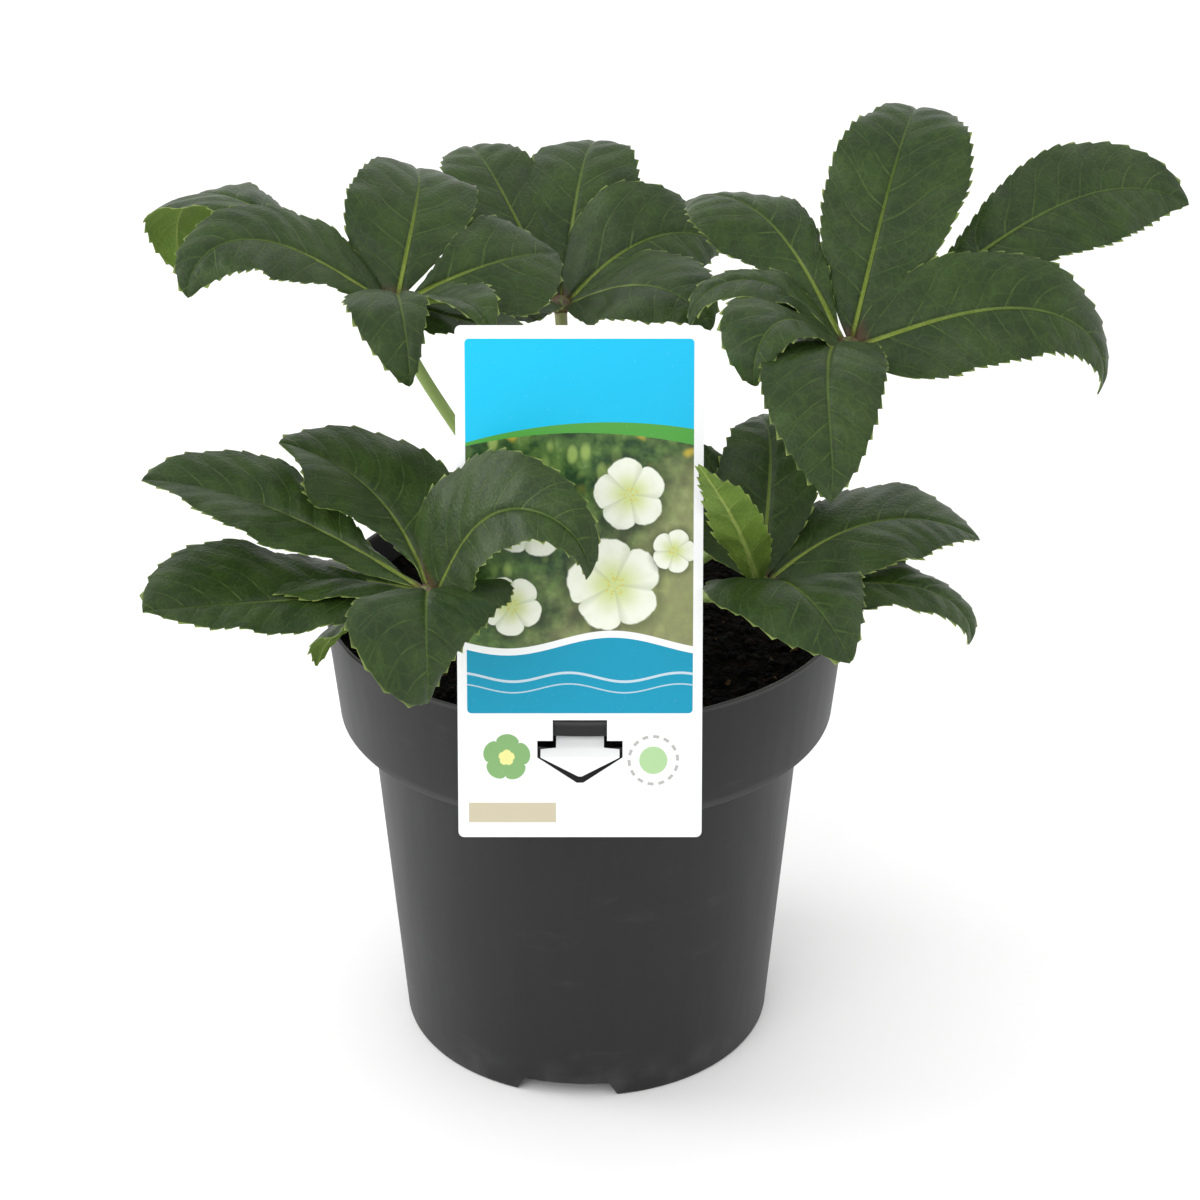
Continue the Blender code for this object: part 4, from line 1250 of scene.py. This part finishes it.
def pot_profile():
    """From the middle of the floor up the inside, over the rim and down the outside."""
    floor_top = FLOOR_LIFT + WALL
    inner_foot = BASE_RADIUS - FOOT_WIDTH
    return rounded_profile([
        (0.0, floor_top, 0.0),
        (outer_radius(floor_top) - WALL, floor_top, 1.5),
        (BODY_TOP_RADIUS - WALL, COLLAR_STEP + WALL, 1.0),
        (COLLAR_FOOT_RADIUS - WALL, COLLAR_STEP + WALL, 1.5),
        (RIM_RADIUS - WALL, POT_HEIGHT, 0.6),
        (RIM_RADIUS, POT_HEIGHT, 0.6),
        (COLLAR_FOOT_RADIUS, COLLAR_STEP, 0.9),
        (BODY_TOP_RADIUS, COLLAR_STEP, 0.8),
        (BASE_RADIUS, 0.0, 1.4),
        (inner_foot, 0.0, 0.5),
        (inner_foot, FLOOR_LIFT, 0.8),
        (0.0, FLOOR_LIFT, 0.0),
    ])


def turned_mesh(name, profile, sides, material):
    """A solid turned from points that start and end on the axis."""
    points = [point for radius, height in profile[1:-1] for point in circle(radius, height, sides)]
    faces = grid_faces(len(profile) - 2, sides, closed=True, flip=True)
    first, last = len(points), len(points) + 1
    points += [(0.0, 0.0, profile[0][1]), (0.0, 0.0, profile[-1][1])]
    end = (len(profile) - 3) * sides
    for side in range(sides):
        after = (side + 1) % sides
        faces.append((first, side, after))
        faces.append((last, end + after, end + side))
    return build_mesh(name, points, faces, [material])


def cutter(name, bm):
    bmesh.ops.recalc_face_normals(bm, faces=bm.faces)
    mesh = bpy.data.meshes.new(name)
    bm.to_mesh(mesh)
    bm.free()
    return add_object(name, mesh, AXIS)


def foot_notch(angle):
    bm = bmesh.new()
    bmesh.ops.create_cube(bm, size=1.0)
    for vert in bm.verts:
        width = NOTCH_WIDTH_ABOVE if vert.co.z > 0 else NOTCH_WIDTH_BELOW
        height = NOTCH_HEIGHT if vert.co.z > 0 else -NOTCH_BELOW
        depth = BASE_RADIUS + math.copysign(NOTCH_REACH, vert.co.x)
        vert.co = Vector((depth, math.copysign(width / 2, vert.co.y), height)) * MM
    bmesh.ops.rotate(bm, verts=bm.verts, matrix=Matrix.Rotation(math.radians(angle), 3, "Z"))
    return cutter("foot_notch", bm)


def drain_hole(index):
    turn = 2.0 * math.pi * (index + 0.5) / DRAIN_COUNT
    place = Vector((DRAIN_CIRCLE * math.cos(turn), DRAIN_CIRCLE * math.sin(turn),
                    FLOOR_LIFT + WALL / 2)) * MM
    bm = bmesh.new()
    bmesh.ops.create_cone(bm, cap_ends=True, segments=32, radius1=DRAIN_RADIUS * MM,
                          radius2=DRAIN_RADIUS * MM, depth=DRAIN_CUT * MM,
                          matrix=Matrix.Translation(place))
    return cutter("drain_hole", bm)


def collar_slot():
    bm = bmesh.new()
    low, high = LABEL_SLOT
    bmesh.ops.create_cube(bm, size=1.0)
    for vert in bm.verts:
        vert.co = Vector((LABEL_X + vert.co.x * LABEL_SLOT_WIDTH,
                          vert.co.y * LABEL_SLOT_DEPTH - RIM_RADIUS,
                          (low + high) / 2 + vert.co.z * (high - low))) * MM
    return cutter("collar_slot", bm)


def make_pot(sides, material):
    mesh = turned_mesh("nursery_pot", pot_profile(), sides, material)
    piece = add_piece("nursery_pot", mesh, "pot_plastic", "pot")
    cutters = [foot_notch(angle) for angle in NOTCH_ANGLES]
    cutters += [drain_hole(index) for index in range(DRAIN_COUNT)]
    cutters.append(collar_slot())
    for shape in cutters:
        cut = piece.modifiers.new("cut", "BOOLEAN")
        cut.operation = "DIFFERENCE"
        cut.solver = "EXACT"
        cut.object = shape
    cut_mesh = finished_mesh(piece)
    piece.modifiers.clear()
    piece.data = cut_mesh
    for shape in cutters:
        bpy.data.objects.remove(shape, do_unlink=True)
    piece.data.shade_smooth()
    piece.data.set_sharp_from_angle(angle=POT_SHARP)


# Label

def on_label(across, up, out=0.0):
    """A point on the label's leaning plane."""
    lean = math.radians(LABEL_LEAN)
    return Vector((LABEL_X + across, LABEL_Y + up * math.sin(lean) - out * math.cos(lean),
                   LABEL_Z + up * math.cos(lean) + out * math.sin(lean)))


def rounded_rectangle(half_width, low, high, corner, steps=10):
    points = []
    for x, y, start in ((half_width - corner, low + corner, -90.0),
                        (half_width - corner, high - corner, 0.0),
                        (corner - half_width, high - corner, 90.0),
                        (corner - half_width, low + corner, 180.0)):
        for index in range(steps + 1):
            angle = math.radians(start + 90.0 * index / steps)
            points.append((x + corner * math.cos(angle), y + corner * math.sin(angle)))
    return points


def arrow_hole():
    neck = TONGUE_NECK / 2 + TONGUE_CUT
    head = TONGUE_HEAD / 2 + TONGUE_CUT
    right = [(neck, TONGUE_ROOT), (neck, TONGUE_SHOULDER + TONGUE_CUT),
             (head, TONGUE_SHOULDER + TONGUE_CUT), (head, TONGUE_CHEEK),
             (TONGUE_CUT, TONGUE_TIP - 2.0 * TONGUE_CUT)]
    return right + [(-x, y) for x, y in reversed(right)]


def sheet_outline():
    """The sheet with its arrow-shaped opening, flat and in its own coordinates."""
    curve = bpy.data.curves.new("sheet_outline", "CURVE")
    curve.dimensions = "2D"
    curve.fill_mode = "BOTH"
    curve.extrude = LABEL_THICKNESS / 2 - LABEL_EDGE
    curve.bevel_depth = LABEL_EDGE
    curve.bevel_resolution = 1
    outer = rounded_rectangle(LABEL_WIDTH / 2 - LABEL_EDGE, LABEL_EDGE - LABEL_BELOW,
                              LABEL_ABOVE - LABEL_EDGE, LABEL_CORNER)
    for outline in (outer, arrow_hole()):
        spline = curve.splines.new("POLY")
        spline.points.add(len(outline) - 1)
        for point, (x, y) in zip(spline.points, outline):
            point.co = (x, y, 0.0, 1.0)
        spline.use_cyclic_u = True
    temporary = add_object("sheet_outline", curve)
    flat = finished_mesh(temporary)
    bpy.data.objects.remove(temporary, do_unlink=True)
    return flat


def tongue_path():
    """(y, z, half width) down the tongue: over the rim, out through the slot and in front."""
    neck = TONGUE_NECK / 2
    head = TONGUE_HEAD / 2
    inner_wall = outer_radius(LABEL_SLOT[1]) - WALL
    behind = TONGUE_GAP - math.sqrt(inner_wall ** 2 - (neck + abs(LABEL_X)) ** 2)
    middle = sum(LABEL_SLOT) / 2
    root = on_label(0.0, TONGUE_ROOT + 1.0)
    cheek = on_label(0.0, TONGUE_CHEEK)
    tip = on_label(0.0, TONGUE_TIP)
    back, above = TONGUE_OVER_RIM
    return [(root.y, root.z, neck),
            (behind - back, POT_HEIGHT + above, neck),
            (behind, POT_HEIGHT - TONGUE_BEND, neck),
            (behind, LABEL_SLOT[1] - TONGUE_ENTRY, neck),
            (-RIM_RADIUS, middle, neck),
            (-RIM_RADIUS - TONGUE_OUT[0], middle - TONGUE_DIP[0], neck),
            (-RIM_RADIUS - TONGUE_OUT[1], middle - TONGUE_DIP[1], head),
            (cheek.y, cheek.z, head), (tip.y, tip.z, TONGUE_POINT)]


def tongue_strip():
    """The tongue as a thin closed strip, as points with their place on the sheet, and faces."""
    path = tongue_path()
    points, values = [], []
    half = LABEL_THICKNESS / 2
    for index, (y, z, width) in enumerate(path):
        before = path[max(0, index - 1)]
        after = path[min(len(path) - 1, index + 1)]
        run = Vector((0.0, after[0] - before[0], after[1] - before[1])).normalized()
        face = run.cross(Vector((1.0, 0.0, 0.0)))
        for across, out in ((-width, half), (width, half), (width, -half), (-width, -half)):
            spot = Vector((LABEL_X + across, y, z)) - face * out
            points.append(tuple(spot))
            values.append((across, TONGUE_PRINT, out))
    faces = grid_faces(len(path), 4, closed=True, flip=True)
    last = len(points) - 4
    faces += [(3, 2, 1, 0), (last, last + 1, last + 2, last + 3)]
    return points, values, faces


def make_label(material):
    flat = sheet_outline()
    points = [tuple(on_label(vert.co.x, vert.co.y, vert.co.z)) for vert in flat.vertices]
    values = [tuple(vert.co) for vert in flat.vertices]
    faces = [tuple(face.vertices) for face in flat.polygons]
    strip, strip_values, strip_faces = tongue_strip()
    start = len(points)
    points += strip
    values += strip_values
    faces += [tuple(start + corner for corner in face) for face in strip_faces]
    mesh = build_mesh("plant_label", points, faces, [material], {"sheet": values})
    mesh.set_sharp_from_angle(angle=LABEL_SHARP)
    add_piece("plant_label", mesh, "label_sheet", "label")


# Floor, lights, camera and sky

def make_floor(material):
    """A wide floor that curves up behind the plant."""
    profile = [(-FLOOR_REACH, 0.0), (COVE_START, 0.0)]
    for index in range(1, COVE_STEPS + 1):
        turn = math.pi / 2 * index / COVE_STEPS
        profile.append((COVE_START + COVE_RADIUS * math.sin(turn),
                        COVE_RADIUS * (1.0 - math.cos(turn))))
    profile.append((COVE_START + COVE_RADIUS, WALL_HEIGHT))
    points = [(x, y, z) for y, z in profile for x in (-FLOOR_REACH, 0.0, FLOOR_REACH)]
    mesh = build_mesh("studio_floor", points, grid_faces(len(profile), 3), [material])
    add_object("studio_floor", mesh)


def add_light(name, place, size, power):
    lamp = bpy.data.lights.new(name, "AREA")
    lamp.shape = "RECTANGLE"
    lamp.size, lamp.size_y = size
    lamp.energy = power
    light = add_object(name, lamp, place)
    light.rotation_euler = (LIT_PLACE - Vector(place)).to_track_quat("-Z", "Y").to_euler()


def make_camera(settings):
    target = Vector(settings.target)
    back = Vector((0.0, -math.cos(settings.elevation), math.sin(settings.elevation)))
    data = bpy.data.cameras.new("camera")
    data.lens = settings.lens
    data.sensor_width = SENSOR_WIDTH
    data.clip_start, data.clip_end = CLIP
    camera = add_object("camera", data, target + back * settings.distance)
    camera.rotation_euler = (-back).to_track_quat("-Z", "Y").to_euler()
    bpy.context.scene.camera = camera


def make_sky(settings):
    world = bpy.data.worlds.new("studio")
    world.use_nodes = True
    background = world.node_tree.nodes["Background"]
    background.inputs["Color"].default_value = (1.0, 1.0, 1.0, 1.0)
    background.inputs["Strength"].default_value = settings.sky
    bpy.context.scene.world = world


# Operators, panel and registration

class HELLEBORE_OT_stage(bpy.types.Operator):
    """Makes the camera, the floor and the studio's light."""

    bl_idname = "hellebore.stage"
    bl_label = "Stage"

    def execute(self, context):
        settings = context.scene.hellebore_stage
        context.scene.view_settings.view_transform = "Standard"
        make_camera(settings)
        make_sky(settings)
        make_floor(floor_material(settings))
        for name, (place, size) in LIGHTS.items():
            add_light(f"{name}_light", place, size, getattr(settings, name))
        return {"FINISHED"}


class HELLEBORE_OT_pot(bpy.types.Operator):
    """Makes the moulded pot with its collar, foot notches and drain holes."""

    bl_idname = "hellebore.pot"
    bl_label = "Pot"

    def execute(self, context):
        settings = context.scene.hellebore_pot
        make_pot(settings.sides, pot_material(settings))
        return {"FINISHED"}


class HELLEBORE_OT_compost(bpy.types.Operator):
    """Makes the compost, its crumbs and its bark chips."""

    bl_idname = "hellebore.compost"
    bl_label = "Compost"

    def execute(self, context):
        settings = context.scene.hellebore_soil
        make_compost(settings, compost_material(settings))
        make_crumbs(settings, crumb_material(settings))
        return {"FINISHED"}


class HELLEBORE_OT_label(bpy.types.Operator):
    """Makes the printed sheet and the tongue that hooks it on the rim."""

    bl_idname = "hellebore.label"
    bl_label = "Label"

    def execute(self, context):
        make_label(label_material(context.scene.hellebore_label))
        return {"FINISHED"}


class HELLEBORE_OT_stalks(bpy.types.Operator):
    """Makes the five grooved stalks."""

    bl_idname = "hellebore.stalks"
    bl_label = "Stalks"

    def execute(self, context):
        settings = context.scene.hellebore_stalk
        material = stalk_material(settings)
        for leaf in LEAVES:
            make_stalk(leaf, settings, material)
        return {"FINISHED"}


class HELLEBORE_OT_leaves(bpy.types.Operator):
    """Makes the leaflets of the five leaves, with the knuckles that they spread from."""

    bl_idname = "hellebore.leaves"
    bl_label = "Leaves"

    def execute(self, context):
        settings = context.scene.hellebore_leaf
        blade = blade_material(settings)
        knuckle = knuckle_material(settings)
        for seed, leaf in enumerate(LEAVES):
            make_leaf(leaf, settings, blade, knuckle, seed + 1)
        return {"FINISHED"}


OPERATORS = (HELLEBORE_OT_stage, HELLEBORE_OT_pot, HELLEBORE_OT_compost, HELLEBORE_OT_label,
             HELLEBORE_OT_stalks, HELLEBORE_OT_leaves)

SETTINGS = {
    "hellebore_stage": StageSettings,
    "hellebore_pot": PotSettings,
    "hellebore_soil": SoilSettings,
    "hellebore_label": LabelSettings,
    "hellebore_stalk": StalkSettings,
    "hellebore_leaf": LeafSettings,
}


class HELLEBORE_PT_pieces(bpy.types.Panel):
    """Lists the pieces of the plant."""

    bl_idname = "HELLEBORE_PT_pieces"
    bl_label = "Potted hellebore"
    bl_space_type = "VIEW_3D"
    bl_region_type = "UI"
    bl_category = "Hellebore"

    def draw(self, context):
        for operator in OPERATORS:
            self.layout.operator(operator.bl_idname)


def register():
    for cls in (*SETTINGS.values(), *OPERATORS, HELLEBORE_PT_pieces):
        bpy.utils.register_class(cls)
    for name, cls in SETTINGS.items():
        setattr(bpy.types.Scene, name, PointerProperty(type=cls))


def unregister():
    for name in SETTINGS:
        delattr(bpy.types.Scene, name)
    for cls in reversed((*SETTINGS.values(), *OPERATORS, HELLEBORE_PT_pieces)):
        bpy.utils.unregister_class(cls)


def main():
    register()
    bpy.ops.hellebore.stage()
    bpy.ops.hellebore.pot()
    bpy.ops.hellebore.compost()
    bpy.ops.hellebore.label()
    bpy.ops.hellebore.stalks()
    bpy.ops.hellebore.leaves()


if __name__ == "__main__":
    main()
